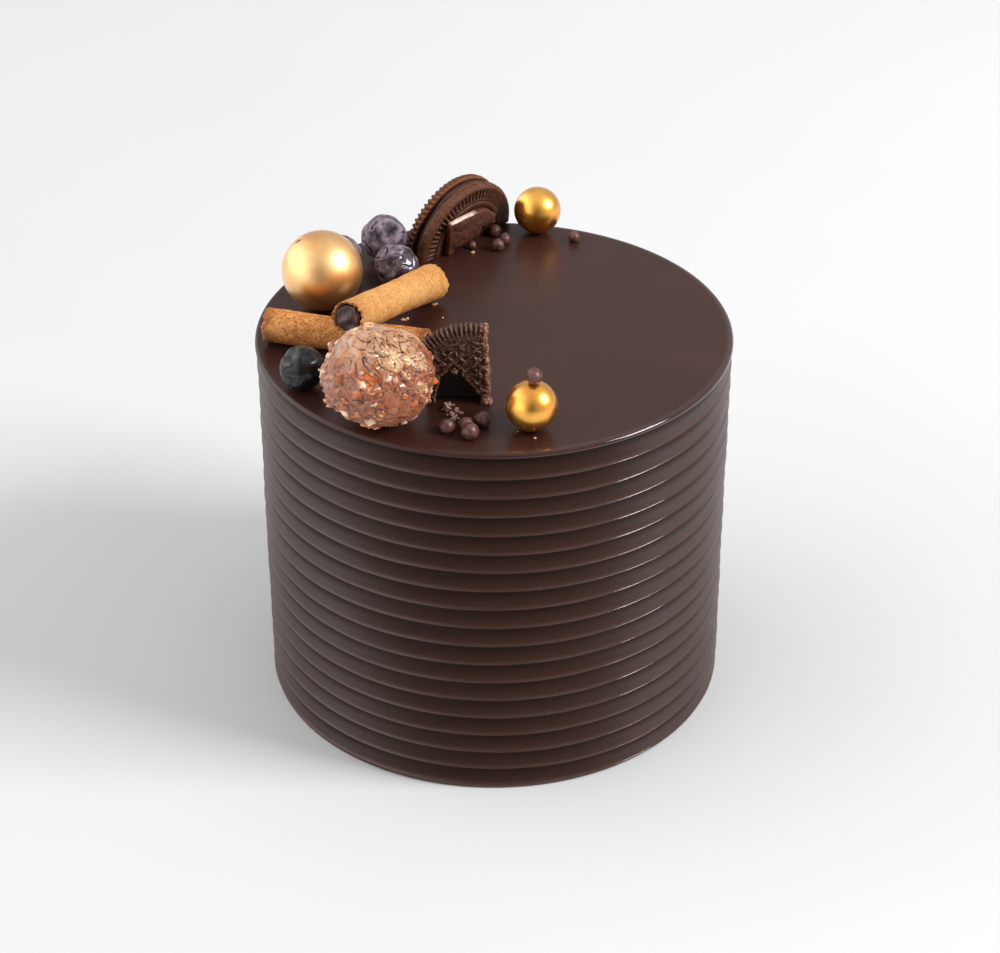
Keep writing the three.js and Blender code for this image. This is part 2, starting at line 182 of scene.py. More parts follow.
class Bench:
    """Modelling steps that the pieces share, mostly Blender's own operators. Sizes are in millimetres."""

    @staticmethod
    def clear() -> None:
        """Leave edit mode and deselect everything."""
        if bpy.context.mode != "OBJECT":
            bpy.ops.object.mode_set(mode="OBJECT")
        bpy.ops.object.select_all(action="DESELECT")

    @staticmethod
    def pick(piece: bpy.types.Object) -> None:
        """Select one piece alone and make it active.

        Args:
            piece: The piece.
        """
        Bench.clear()
        piece.select_set(True)
        bpy.context.view_layer.objects.active = piece

    @staticmethod
    def settle(name: str) -> bpy.types.Object:
        """Name the active object and move its place into its mesh.

        Args:
            name: The piece's name.

        Returns:
            The piece.
        """
        piece = bpy.context.view_layer.objects.active
        piece.name = name
        piece.data.name = name
        bpy.ops.object.transform_apply(location=True, rotation=True, scale=True)
        return piece

    @staticmethod
    def ball(name: str, radius: float, place: Sequence[float], columns: int, rows: int) -> bpy.types.Object:
        """Add a ball with its poles up and down.

        Args:
            name: The piece's name.
            radius: Its radius.
            place: Its centre.
            columns: Faces round it.
            rows: Faces from pole to pole.

        Returns:
            The piece.
        """
        Bench.clear()
        where = [value * MM for value in place]
        bpy.ops.mesh.primitive_uv_sphere_add(
            segments=columns, ring_count=rows, radius=radius * MM, location=where
        )
        return Bench.settle(name)

    @staticmethod
    def chain(name: str, points: Sequence[Point]) -> bpy.types.Object:
        """Draw a chain of edges by extruding one vertex from point to point, and stay in edit mode.

        Args:
            name: The piece's name.
            points: The points in order.

        Returns:
            The piece, with all of it selected.
        """
        Bench.clear()
        first = [value * MM for value in points[0]]
        bpy.ops.mesh.primitive_plane_add(size=MM, location=first)
        piece = Bench.settle(name)
        bpy.ops.object.mode_set(mode="EDIT")
        bpy.ops.mesh.select_mode(type="VERT")
        bpy.ops.mesh.select_all(action="SELECT")
        bpy.ops.mesh.merge(type="CENTER")
        for before, after in zip(points, points[1:]):
            step = [(b - a) * MM for a, b in zip(before, after)]
            bpy.ops.mesh.extrude_vertices_move(TRANSFORM_OT_translate={"value": step})
        bpy.ops.mesh.select_all(action="SELECT")
        return piece

    @staticmethod
    def close() -> None:
        """Merge doubles in edit mode, turn the faces outwards and leave edit mode."""
        bpy.ops.mesh.select_all(action="SELECT")
        bpy.ops.mesh.remove_doubles(threshold=WELD * MM)
        bpy.ops.mesh.normals_make_consistent(inside=False)
        bpy.ops.object.mode_set(mode="OBJECT")

    @staticmethod
    def turned(name: str, profile: Sequence[Flat], steps: int) -> bpy.types.Object:
        """Spin a profile round the upright axis.

        Args:
            name: The piece's name.
            profile: Radius and height of each point.
            steps: Faces round it.

        Returns:
            The piece.
        """
        piece = Bench.chain(name, [(radius, 0.0, rise) for radius, rise in profile])
        bpy.ops.mesh.spin(steps=steps, angle=math.tau, center=(0, 0, 0), axis=(0, 0, 1))
        Bench.close()
        return piece

    @staticmethod
    def slab(name: str, outline: Sequence[Flat], low: float, high: float) -> bpy.types.Object:
        """Fill an outline and extrude it upwards.

        Args:
            name: The piece's name.
            outline: Points round the slab.
            low: Height of its lower face.
            high: Height of its upper face.

        Returns:
            The piece.
        """
        points = [(x, y, low) for x, y in outline]
        piece = Bench.chain(name, [*points, points[0]])
        bpy.ops.mesh.remove_doubles(threshold=WELD * MM)
        bpy.ops.mesh.select_all(action="SELECT")
        bpy.ops.mesh.edge_face_add()
        bpy.ops.mesh.extrude_region_move(TRANSFORM_OT_translate={"value": (0, 0, (high - low) * MM)})
        Bench.close()
        return piece

    @staticmethod
    def cut_below(piece: bpy.types.Object, level: float) -> None:
        """Cut a piece off level, keep what is above and fill the cut.

        Args:
            piece: The piece.
            level: Height of the cut.
        """
        Bench.pick(piece)
        bpy.ops.object.mode_set(mode="EDIT")
        bpy.ops.mesh.select_all(action="SELECT")
        bpy.ops.mesh.bisect(
            plane_co=(0, 0, level * MM), plane_no=(0, 0, 1), use_fill=True, clear_inner=True
        )
        Bench.close()

    @staticmethod
    def place(piece: bpy.types.Object, matrix: Matrix) -> None:
        """Move a piece, with its place kept in its mesh.

        Args:
            piece: The piece.
            matrix: The move, in metres.
        """
        Bench.pick(piece)
        piece.matrix_world = matrix
        bpy.ops.object.transform_apply(location=True, rotation=True, scale=True)

    @staticmethod
    def modify(piece: bpy.types.Object, kind: str, settings: dict[str, Any]) -> None:
        """Add a modifier and apply it.

        Args:
            piece: The piece.
            kind: Blender's name for the modifier.
            settings: Its settings.
        """
        Bench.pick(piece)
        modifier = piece.modifiers.new(kind.lower(), kind)
        for key, value in settings.items():
            setattr(modifier, key, value)
        bpy.ops.object.modifier_apply(modifier=modifier.name)

    @staticmethod
    def remesh(piece: bpy.types.Object, pitch: float) -> None:
        """Rebuild a piece's skin as an even net of faces of one pitch."""
        Bench.modify(piece, "REMESH", {"mode": "VOXEL", "voxel_size": pitch * MM, "use_smooth_shade": True})

    @staticmethod
    def roughen(piece: bpy.types.Object, *lumps: Flat) -> None:
        """Push a skin in and out along its normals.

        Args:
            piece: The piece.
            lumps: Width and full height of the lumps of each pass.
        """
        for size, height in lumps:
            texture = bpy.data.textures.new(f"{piece.name}_lumps", "CLOUDS")
            texture.noise_scale = size * MM
            settings = {"texture": texture, "texture_coords": "LOCAL", "strength": height * MM}
            Bench.modify(piece, "DISPLACE", {**settings, "mid_level": 0.5})
            bpy.data.textures.remove(texture)

    @staticmethod
    def rows(piece: bpy.types.Object, kind: str) -> np.ndarray:
        """Read what the vertices hold.

        Args:
            piece: The piece.
            kind: Blender's name for it.

        Returns:
            Three values a vertex, one vertex a row.
        """
        flat = np.empty(len(piece.data.vertices) * 3)
        piece.data.vertices.foreach_get(kind, flat)
        return flat.reshape(-1, 3)

    @staticmethod
    def places(piece: bpy.types.Object) -> np.ndarray:
        """The vertices' places in millimetres, one a row."""
        return Bench.rows(piece, "co") / MM

    @staticmethod
    def normals(piece: bpy.types.Object) -> np.ndarray:
        """The vertices' normals, one a row."""
        return Bench.rows(piece, "normal")

    @staticmethod
    def sculpt(piece: bpy.types.Object, move: Moves) -> None:
        """Move every vertex by a function of all places.

        Args:
            piece: The piece.
            move: Takes places and gives new ones, in millimetres.
        """
        piece.data.vertices.foreach_set("co", (move(Bench.places(piece)) * MM).ravel())
        piece.data.update()

    @staticmethod
    def paint(piece: bpy.types.Object, **marks: np.ndarray) -> None:
        """Store marks for the finish to read.

        Args:
            piece: The piece.
            marks: One value a vertex, under each mark's name.
        """
        for name, values in marks.items():
            layer = piece.data.attributes.new(name, "FLOAT", "POINT")
            layer.data.foreach_set("value", np.ascontiguousarray(values, dtype=np.float32))

    @staticmethod
    def bulge(piece: bpy.types.Object, passes: int) -> np.ndarray:
        """Tell ridges from hollows.

        Args:
            piece: The piece.
            passes: How often the result is smoothed over neighbours.

        Returns:
            One value a vertex: 0 in a hollow, a half where flat, 1 on a ridge.
        """
        mesh = piece.data
        pairs = np.empty(len(mesh.edges) * 2, dtype=np.int64)
        mesh.edges.foreach_get("vertices", pairs)
        one, two = pairs.reshape(-1, 2).T
        count = len(mesh.vertices)
        ties = np.maximum(np.bincount(one, minlength=count) + np.bincount(two, minlength=count), 1)

        def around(values: np.ndarray) -> np.ndarray:
            """Mean of the neighbours' values."""
            there = np.bincount(one, values[two], count) + np.bincount(two, values[one], count)
            return there / ties

        where = Bench.places(piece)
        gap = where - np.stack([around(where[:, axis]) for axis in range(3)], axis=1)
        raised = np.einsum("ij,ij->i", gap, Bench.normals(piece))
        for _ in range(passes):
            raised = 0.5 * raised + 0.5 * around(raised)
        reach = np.percentile(np.abs(raised), 92) + 1e-9
        return np.clip(0.5 + 0.5 * raised / reach, 0, 1)

    @staticmethod
    def smooth(piece: bpy.types.Object) -> None:
        """Shade a piece smooth."""
        Bench.pick(piece)
        bpy.ops.object.shade_smooth()

    @staticmethod
    def join(pieces: Sequence[bpy.types.Object], name: str) -> bpy.types.Object:
        """Join pieces into the first of them.

        Args:
            pieces: The pieces.
            name: The joined piece's name.

        Returns:
            The joined piece.
        """
        Bench.pick(pieces[0])
        for piece in pieces:
            piece.select_set(True)
        bpy.ops.object.join()
        pieces[0].name = name
        pieces[0].data.name = name
        return pieces[0]

    @staticmethod
    def scatter(name: str, grains: Sequence[np.ndarray], faces: np.ndarray) -> bpy.types.Object:
        """Make one mesh of many small grains that share their faces.

        Args:
            name: The piece's name.
            grains: The vertices of each grain, in millimetres.
            faces: The faces of one grain.

        Returns:
            The piece.
        """
        mesh = bpy.data.meshes.new(name)
        count = len(grains[0])
        corners = np.concatenate([faces + i * count for i in range(len(grains))])
        mesh.from_pydata((np.concatenate(grains) * MM).tolist(), [], corners.tolist())
        piece = bpy.data.objects.new(name, mesh)
        bpy.context.collection.objects.link(piece)
        return piece

    @staticmethod
    def pebble(detail: int) -> tuple[np.ndarray, np.ndarray]:
        """The shape that small grains start from.

        Args:
            detail: How often its faces are split.

        Returns:
            Vertices of radius 1, and faces.
        """
        Bench.clear()
        bpy.ops.mesh.primitive_ico_sphere_add(subdivisions=detail, radius=MM)
        made = Bench.settle("pebble")
        faces = np.array([list(face.vertices) for face in made.data.polygons])
        vertices = Bench.places(made)
        bpy.data.objects.remove(made)
        return vertices, faces


class Wire:
    """A shader socket that takes part in Python arithmetic."""

    def __init__(self, board: "Board", socket: Optional[bpy.types.NodeSocket]) -> None:
        """Keep the socket and its board."""
        self.board = board
        self.socket = socket

    def _math(self, operation: str, first: "Value", second: "Value") -> "Wire":
        """Add one Math node."""
        return self.board.node("ShaderNodeMath", {"operation": operation}, {0: first, 1: second})

    def __add__(self, other: "Value") -> "Wire":
        """Sum."""
        return self._math("ADD", self, other)

    def __radd__(self, other: "Value") -> "Wire":
        """Sum, reflected."""
        return self._math("ADD", other, self)

    def __sub__(self, other: "Value") -> "Wire":
        """Difference."""
        return self._math("SUBTRACT", self, other)

    def __rsub__(self, other: "Value") -> "Wire":
        """Difference, reflected."""
        return self._math("SUBTRACT", other, self)

    def __mul__(self, other: "Value") -> "Wire":
        """Product."""
        return self._math("MULTIPLY", self, other)

    def __rmul__(self, other: "Value") -> "Wire":
        """Product, reflected."""
        return self._math("MULTIPLY", other, self)


Value = Union[Wire, float, Sequence[float]]
Sockets = dict[Union[str, int], Value]


class Board:
    """The node tree of a material or of the room."""

    def __init__(self, holder: Union[bpy.types.Material, bpy.types.World]) -> None:
        """Start a material or a room with an empty tree."""
        self.holder = holder
        self.holder.use_nodes = True
        self.tree = self.holder.node_tree
        self.tree.nodes.clear()

    def node(
        self,
        kind: str,
        settings: Optional[dict[str, Any]] = None,
        sockets: Optional[Sockets] = None,
        output: Union[str, int] = 0,
    ) -> Wire:
        """Add a node.

        Args:
            kind: Blender's name for the node.
            settings: What is set on the node first.
            sockets: Values or links of its sockets.
            output: Which output is given back.

        Returns:
            The output as a wire.
        """
        made = self.tree.nodes.new(kind)
        for key, value in (settings or {}).items():
            setattr(made, key, value)
        for key, value in (sockets or {}).items():
            if isinstance(value, Wire):
                self.tree.links.new(value.socket, made.inputs[key])
            else:
                made.inputs[key].default_value = value
        return Wire(self, made.outputs[output] if len(made.outputs) else None)

    def where(self) -> Wire:
        """The place on the piece."""
        return self.node("ShaderNodeTexCoord", output="Object")

    def stretched(self, where: Wire, factors: Point) -> Wire:
        """A place with each axis stretched."""
        return self.node("ShaderNodeVectorMath", {"operation": "MULTIPLY"}, {0: where, 1: factors})

    def cloud(self, where: Wire, size: float, detail: float = 3.0, rough: float = 0.55) -> Wire:
        """Soft noise.

        Args:
            where: The place.
            size: Width of its lumps in millimetres.
            detail: Number of finer layers.
            rough: How strong the finer layers are.

        Returns:
            A value from about 0.2 to 0.8.
        """
        sockets = {"Vector": where, "Scale": 1 / (size * MM), "Detail": detail, "Roughness": rough}
        return self.node("ShaderNodeTexNoise", {}, sockets)

    def cells(self, where: Wire, size: float) -> Wire:
        """Distance from the middle of the nearest of many cells.

        Args:
            where: The place.
            size: Width of a cell in millimetres.

        Returns:
            The distance as a share of a cell.
        """
        return self.node("ShaderNodeTexVoronoi", {}, {"Vector": where, "Scale": 1 / (size * MM)})

    def mark(self, name: str) -> Wire:
        """A value that is painted on the piece."""
        return self.node("ShaderNodeAttribute", {"attribute_name": name}, output="Fac")

    def between(self, value: Wire, low: float, high: float) -> Wire:
        """Ease a value from 0 to 1 as it goes from low to high."""
        return self.node(
            "ShaderNodeMapRange",
            {"interpolation_type": "SMOOTHSTEP"},
            {"Value": value, "From Min": low, "From Max": high},
        )

    def blend(self, first: Value, second: Value, factor: Value) -> Wire:
        """Mix two colours.

        Args:
            first: The colour at factor 0.
            second: The colour at factor 1.
            factor: The share of the second.

        Returns:
            The mixed colour.
        """
        return self.node("ShaderNodeMix", {"data_type": "RGBA"}, {0: factor, 6: first, 7: second}, 2)

    def bump(self, height: Wire, depth: float, strength: float = 1.0, over: Optional[Wire] = None) -> Wire:
        """Fine relief.

        Args:
            height: Height from 0 to 1.
            depth: What 1 stands for, in millimetres.
            strength: Share of the relief that shows.
            over: A relief that it is added to.

        Returns:
            The normal.
        """
        sockets: Sockets = {"Height": height, "Distance": depth * MM, "Strength": strength}
        if over is not None:
            sockets["Normal"] = over
        return self.node("ShaderNodeBump", {}, sockets)

    def shader(self, colour: Wire, rough: Value, normal: Wire, more: Optional[Sockets] = None) -> Wire:
        """Add one shader.

        Args:
            colour: Its colour.
            rough: Its roughness.
            normal: Its fine relief.
            more: What feeds its other sockets.

        Returns:
            The shader.
        """
        sockets: Sockets = {"Base Color": colour, "Roughness": rough, "Normal": normal}
        return self.node("ShaderNodeBsdfPrincipled", {}, {**sockets, **(more or {})})


@dataclass(frozen=True)
class Finish:
    """What a piece can wear."""

    name: str

    def surface(self, board: Board, where: Wire) -> Wire:
        """Lay the nodes of the surface.

        Args:
            board: The board that they go on.
            where: The place on the piece.

        Returns:
            The shader.
        """
        raise NotImplementedError

    def make(self) -> bpy.types.Material:
        """Make the material.

        Returns:
            The material.
        """
        board = Board(bpy.data.materials.new(self.name))
        surface = self.surface(board, board.where())
        board.node("ShaderNodeOutputMaterial", {}, {"Surface": surface})
        return board.holder


@dataclass(frozen=True)
class GanacheFinish(Finish):
    """Dark satin chocolate, smooth on top and combed round the side, dull and with painted shade under each
    edge.
    """

    name: str = "dark_ganache"
    deep: Colour = tint(55, 30, 25)
    warm: Colour = tint(63, 34, 28)
    wall: Colour = tint(65, 37, 28)
    # The hollow and pit colours are painted shade for the scoops under the crests.
    hollow: Colour = tint(38, 22, 17)
    pit: Colour = tint(10, 6, 5)
    gloss: float = 0.27
    polish: float = 0.05
    shine: float = 0.5
    dull: float = 0.01

    def surface(self, board: Board, where: Wire) -> Wire:
        """Lay the nodes of the surface."""
        side = board.mark("wall")
        shade = board.mark("shade")
        edge = board.mark("crest")
        broad = board.cloud(where, 32)
        drawn = board.cloud(board.stretched(where, (1, 1, 14)), 30, 2)
        fine = board.cloud(where, 0.7, 3)
        colour = board.blend(self.deep, self.warm, board.between(broad + 0.5 * drawn, 0.5, 1.0))
        colour = board.blend(colour, self.wall, side)
        # Painted shade: the shade mark darkens the colour towards the hollow and pit colours, most just
        # under each crest, a little on the top.
        groove = board.between(shade, 0.88, 1.0)
        hollow = board.blend(self.hollow, self.pit, groove)
        colour = board.blend(colour, hollow, shade * (0.35 + 0.6 * side))
        line = edge * board.between(drawn + 0.2 * fine + 0.3 * (1.0 - side), 0.5, 0.62)
        rough = (self.gloss + 0.1 * broad + 0.03 * side) * (1.0 - line) + self.polish * line
        grazing = board.between(board.node("ShaderNodeLayerWeight", {}, {0: 0.5}, "Facing"), 0.1, 0.34)
        normal = board.bump(drawn, 0.35, 0.2)
        normal = board.bump(fine, 0.04, 0.3, normal)
        coat = {"Coat Weight": line * (1.0 - 0.6 * side), "Coat Roughness": self.polish}
        satin = board.shader(colour, rough, normal, {**coat, "Specular IOR Level": self.shine})
        under = board.shader(colour, 0.45 + 0.1 * broad, normal, {"Specular IOR Level": self.dull})
        kept = 1.0 - 0.7 * board.between(shade, 0.76, 0.92)
        share = shade * (1.0 - (0.5 + 0.45 * side) * grazing * kept)
        return board.node("ShaderNodeMixShader", {}, {0: share, 1: satin, 2: under})


@dataclass(frozen=True)
class GoldFinish(Finish):
    """Pearly gold lustre dusted over a chocolate ball."""

    bright: Colour
    deep: Colour
    gloss: float
    chocolate: Colour = tint(52, 36, 26)

    def surface(self, board: Board, where: Wire) -> Wire:
        """Lay the nodes of the surface."""
        broad = board.cloud(where, 9, 3)
        dust = board.cloud(where, 0.35, 2)
        nick = board.mark("nick")
        colour = board.blend(self.deep, self.bright, board.between(broad, 0.25, 0.7))
        colour = board.blend(colour, self.chocolate, nick)
        rough = self.gloss + 0.08 * dust + 0.05 * broad
        normal = board.bump(dust, 0.03, 0.35)
        coat = {"Coat Weight": 1.0 - nick, "Coat Roughness": 0.28}
        return board.shader(colour, rough, normal, {**coat, "Metallic": 1.0 - nick})


@dataclass(frozen=True)
class BerryFinish(Finish):
    """Berry skin under a waxy bloom."""

    skin: Colour
    bloom: Colour
    cover: float
    wet: float
    polish: float = 0.0

    def surface(self, board: Board, where: Wire) -> Wire:
        """Lay the nodes of the surface."""
        ridge = board.mark("bulge")
        patch = board.cloud(where, 3.2, 4, 0.65)
        fine = board.cloud(where, 0.4, 3, 0.7)
        frost = board.between(0.5 * patch + 0.5 * ridge, 0.46 - self.cover, 0.86 - 0.4 * self.cover)
        shine = board.mark("wet")
        colour = board.blend(self.skin, self.bloom, frost * (0.7 + 0.5 * fine) * (1.0 - 0.75 * shine))
        rough = 0.42 + 0.3 * frost - 0.3 * shine
        normal = board.bump(patch, 0.6, 0.5)
        normal = board.bump(fine, 0.12, 0.7, normal)
        coat = {"Coat Weight": self.polish + self.wet * shine, "Coat Roughness": 0.12}
        return board.shader(colour, rough, normal, {**coat, "Specular IOR Level": 0.2})


@dataclass(frozen=True)
class PralineFinish(Finish):
    """Milk chocolate over chopped nuts, cracked into thin flakes, with painted shade in its hollows and
    cracks and a painted highlight on its top.
    """

    name: str = "milk_chocolate_praline"
    dark: Colour = tint(56, 23, 15)
    milk: Colour = tint(150, 78, 35)
    rosy: Colour = tint(156, 84, 50)
    pale: Colour = tint(243, 203, 164)
    cream: Colour = tint(222, 182, 134)
    nut: Colour = tint(204, 102, 40)

    def surface(self, board: Board, where: Wire) -> Wire:
        """Lay the nodes of the surface."""
        ridge = board.mark("bulge")
        patch = board.cloud(where, 3.0, 4, 0.6)
        broad = board.cloud(where, 6.5, 2)
        fine = board.cloud(where, 0.5, 3, 0.65)
        calm = board.mark("calm")
        colour = board.blend(self.milk, self.rosy, board.between(0.7 * calm + broad, 0.55, 1.0))
        roasted = board.mark("roast") * board.between(patch + 0.3 * fine, 0.5, 0.75)
        colour = board.blend(colour, self.nut, roasted)
        # The cream mark holds the cream streaks and patch, and also a painted highlight on the upper part
        # of the ball.
        cream_and_top_highlight = board.mark("cream") * board.between(patch + 0.4 * fine, 0.45, 0.8)
        colour = board.blend(colour, self.cream, cream_and_top_highlight)
        # Painted shade: darker in the hollows, by the bulge mark, and along the cracks.
        deep = ridge + 0.35 * patch + 0.3 * fine + 0.05 * calm
        colour = board.blend(self.dark, colour, 0.15 + 0.85 * board.between(deep, 0.44, 0.9))
        colour = board.blend(colour, self.dark, 0.6 * board.mark("crack"))
        bare = board.mark("bare")
        colour = board.blend(colour, self.pale, bare * board.between(patch + 0.4 * fine, 0.5, 0.8))
        normal = board.bump(fine, 0.15, 0.5)
        rough = 0.36 + 0.25 * fine
        coat = {"Coat Weight": board.between(patch + 0.3 * fine, 0.45, 0.7), "Coat Roughness": 0.1}
        sheen = {"Sheen Weight": 0.22, "Sheen Roughness": 0.4, "Sheen Tint": (1.0, 0.86, 0.76, 1.0)}
        return board.shader(colour, rough, normal, {**coat, **sheen, "Specular IOR Level": 0.3})


@dataclass(frozen=True)
class NutFinish(Finish):
    """Chopped roasted nut."""

    name: str = "chopped_nut"
    pale: Colour = tint(232, 196, 164)
    roast: Colour = tint(190, 112, 66)

    def surface(self, board: Board, where: Wire) -> Wire:
        """Lay the nodes of the surface."""
        patch = board.cloud(where, 1.6, 3, 0.6)
        fine = board.cloud(where, 0.3, 2)
        colour = board.blend(self.roast, self.pale, board.between(patch, 0.35, 0.65))
        normal = board.bump(fine, 0.1, 0.4)
        return board.shader(colour, 0.5 + 0.2 * fine, normal)


@dataclass(frozen=True)
class WaferFinish(Finish):
    """Thin rolled wafer, baked golden, with fine pores, toasted ends and painted shade on its underside."""

    golden: Colour
    brown: Colour
    toast_and_shade: Colour
    pale: Colour
    speckle: float

    def surface(self, board: Board, where: Wire) -> Wire:
        """Lay the nodes of the surface."""
        broad = board.cloud(where, 9, 4, 0.6)
        grain = board.cloud(where, 1.5, 4, 0.7)
        specks = board.cloud(where, 0.7, 2, 0.6)
        pores = board.cells(where, 0.8)
        toasted = board.mark("toast_and_shade")
        ridge = board.mark("bulge")
        colour = board.blend(self.golden, self.brown, board.between(0.5 * broad + grain, 0.64, 0.88))
        # The toast mark holds the toasted ends and rims, and also painted shade on the underside.
        colour = board.blend(colour, self.toast_and_shade, toasted * board.between(broad + 0.3 * grain, 0.3, 0.75))
        colour = board.blend(colour, self.pale, 0.5 * board.between(grain + 0.3 * ridge, 0.7, 0.95))
        pit = board.between(pores + 0.5 * grain, 0.28, 0.5)
        colour = board.blend(self.brown, colour, 0.3 + 0.7 * pit)
        dots = self.speckle * board.between(specks + 0.2 * broad, 0.64, 0.78)
        colour = board.blend(colour, self.toast_and_shade, dots)
        normal = board.bump(grain, 0.3, 0.5)
        normal = board.bump(pit, 0.12, 0.5, normal)
        return board.shader(colour, 0.6 + 0.2 * grain, normal, {"Specular IOR Level": 0.25})


@dataclass(frozen=True)
class FillingFinish(Finish):
    """Soft dark chocolate cream."""

    dark: Colour = tint(46, 20, 14)
    light: Colour = tint(122, 74, 62)

    def surface(self, board: Board, where: Wire) -> Wire:
        """Lay the nodes of the surface."""
        streak = board.cloud(board.stretched(where, (2.2, 1.0, 0.6)), 2.4, 3)
        fine = board.cloud(where, 0.5, 3)
        colour = board.blend(self.dark, self.light, board.between(streak, 0.5, 0.75))
        normal = board.bump(streak + 0.4 * fine, 0.4, 0.5)
        return board.shader(colour, 0.32 + 0.25 * fine, normal)


@dataclass(frozen=True)
class CookieFinish(Finish):
    """Dark cocoa cookie with a dry, crumbly skin, painted shade in its hollows and a painted highlight on
    its ridges.
    """

    pit: Colour = tint(22, 9, 6)
    crust: Colour = tint(71, 35, 18)
    crumb: Colour = tint(132, 80, 48)
    cream: Colour = tint(238, 214, 196)
    glint: float = 0.0

    def surface(self, board: Board, where: Wire) -> Wire:
        """Lay the nodes of the surface."""
        ridge = board.mark("bulge")
        broken = board.mark("broken")
        cream = board.mark("cream")
        patch = board.cloud(where, 2.6, 4, 0.65)
        fine = board.cloud(where, 0.45, 3, 0.7)
        # Painted shade and highlight: the pit colour darkens the hollows and the crumb colour lightens the
        # ridges, by the bulge mark.
        colour = board.blend(self.pit, self.crust, board.between(ridge + 0.25 * patch, 0.2, 0.75))
        colour = board.blend(colour, self.crumb, board.between(ridge + 0.45 * fine, 0.95, 1.35))
        # The broken mark lightens fresh breaks to the crumb colour; on the chips it stands for a painted
        # highlight on their upper faces.
        lit = broken * board.between(patch + 0.5 * fine, 0.5, 0.95)
        colour = board.blend(colour, self.crumb, lit)
        colour = board.blend(colour, self.cream, cream * board.between(patch + fine, 0.6, 1.0))
        normal = board.bump(fine, 0.2, 0.6)
        normal = board.bump(patch, 0.4, 0.3, normal)
        rough = 0.5 + 0.25 * fine - 0.2 * cream
        glint = self.glint * board.between(ridge + 0.4 * fine, 0.8, 1.2)
        coat = {"Coat Weight": glint, "Coat Roughness": 0.2}
        return board.shader(colour, rough, normal, {**coat, "Specular IOR Level": 0.3})


@dataclass(frozen=True)
class CreamFinish(Finish):
    """Chocolate cream between two wafers."""

    dark: Colour
    light: Colour

    def surface(self, board: Board, where: Wire) -> Wire:
        """Lay the nodes of the surface."""
        patch = board.cloud(where, 2.0, 4, 0.65)
        fine = board.cloud(where, 0.4, 3)
        colour = board.blend(self.dark, self.light, board.between(patch, 0.35, 0.7))
        normal = board.bump(patch + 0.5 * fine, 0.3, 0.5)
        return board.shader(colour, 0.55 + 0.2 * fine, normal)


@dataclass(frozen=True)
class PearlFinish(Finish):
    """Small crisp ball in milk chocolate with a satin polish."""

    name: str = "chocolate_pearl"
    dark: Colour = tint(64, 35, 30)
    light: Colour = tint(106, 65, 57)

    def surface(self, board: Board, where: Wire) -> Wire:
        """Lay the nodes of the surface."""
        patch = board.cloud(where, 1.8, 3)
        fine = board.cloud(where, 0.35, 2)
        colour = board.blend(self.dark, self.light, board.between(patch, 0.3, 0.7))
        normal = board.bump(fine, 0.06, 0.4)
        return board.shader(colour, 0.3 + 0.2 * patch, normal)


@dataclass(frozen=True)
class FloorFinish(Finish):
    """Plain pale floor with the least mottling."""

    name: str = "pale_floor"
    dark: Colour = tint(208, 208, 209)
    light: Colour = tint(215, 215, 216)

    def surface(self, board: Board, where: Wire) -> Wire:
        """Lay the nodes of the surface."""
        broad = board.cloud(where, 420, 3)
        colour = board.blend(self.dark, self.light, broad)
        sockets: Sockets = {"Base Color": colour, "Roughness": 0.5 + 0.1 * broad}
        return board.node("ShaderNodeBsdfPrincipled", {}, sockets)


def hand_over(piece: bpy.types.Object, finish: Finish, nodes: Sequence[str]) -> None:
    """Dress a finished piece and tie it to the model.

    Args:
        piece: The piece.
        finish: The finish it wears.
        nodes: The nodes that it stands for.
    """
    piece.data.materials.clear()
    piece.data.materials.append(finish.make())
    Bench.smooth(piece)
    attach(piece, BODY)
    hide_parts(*nodes)
    LOG.info("%s: %d faces, stands for %s", piece.name, len(piece.data.polygons), ", ".join(nodes))


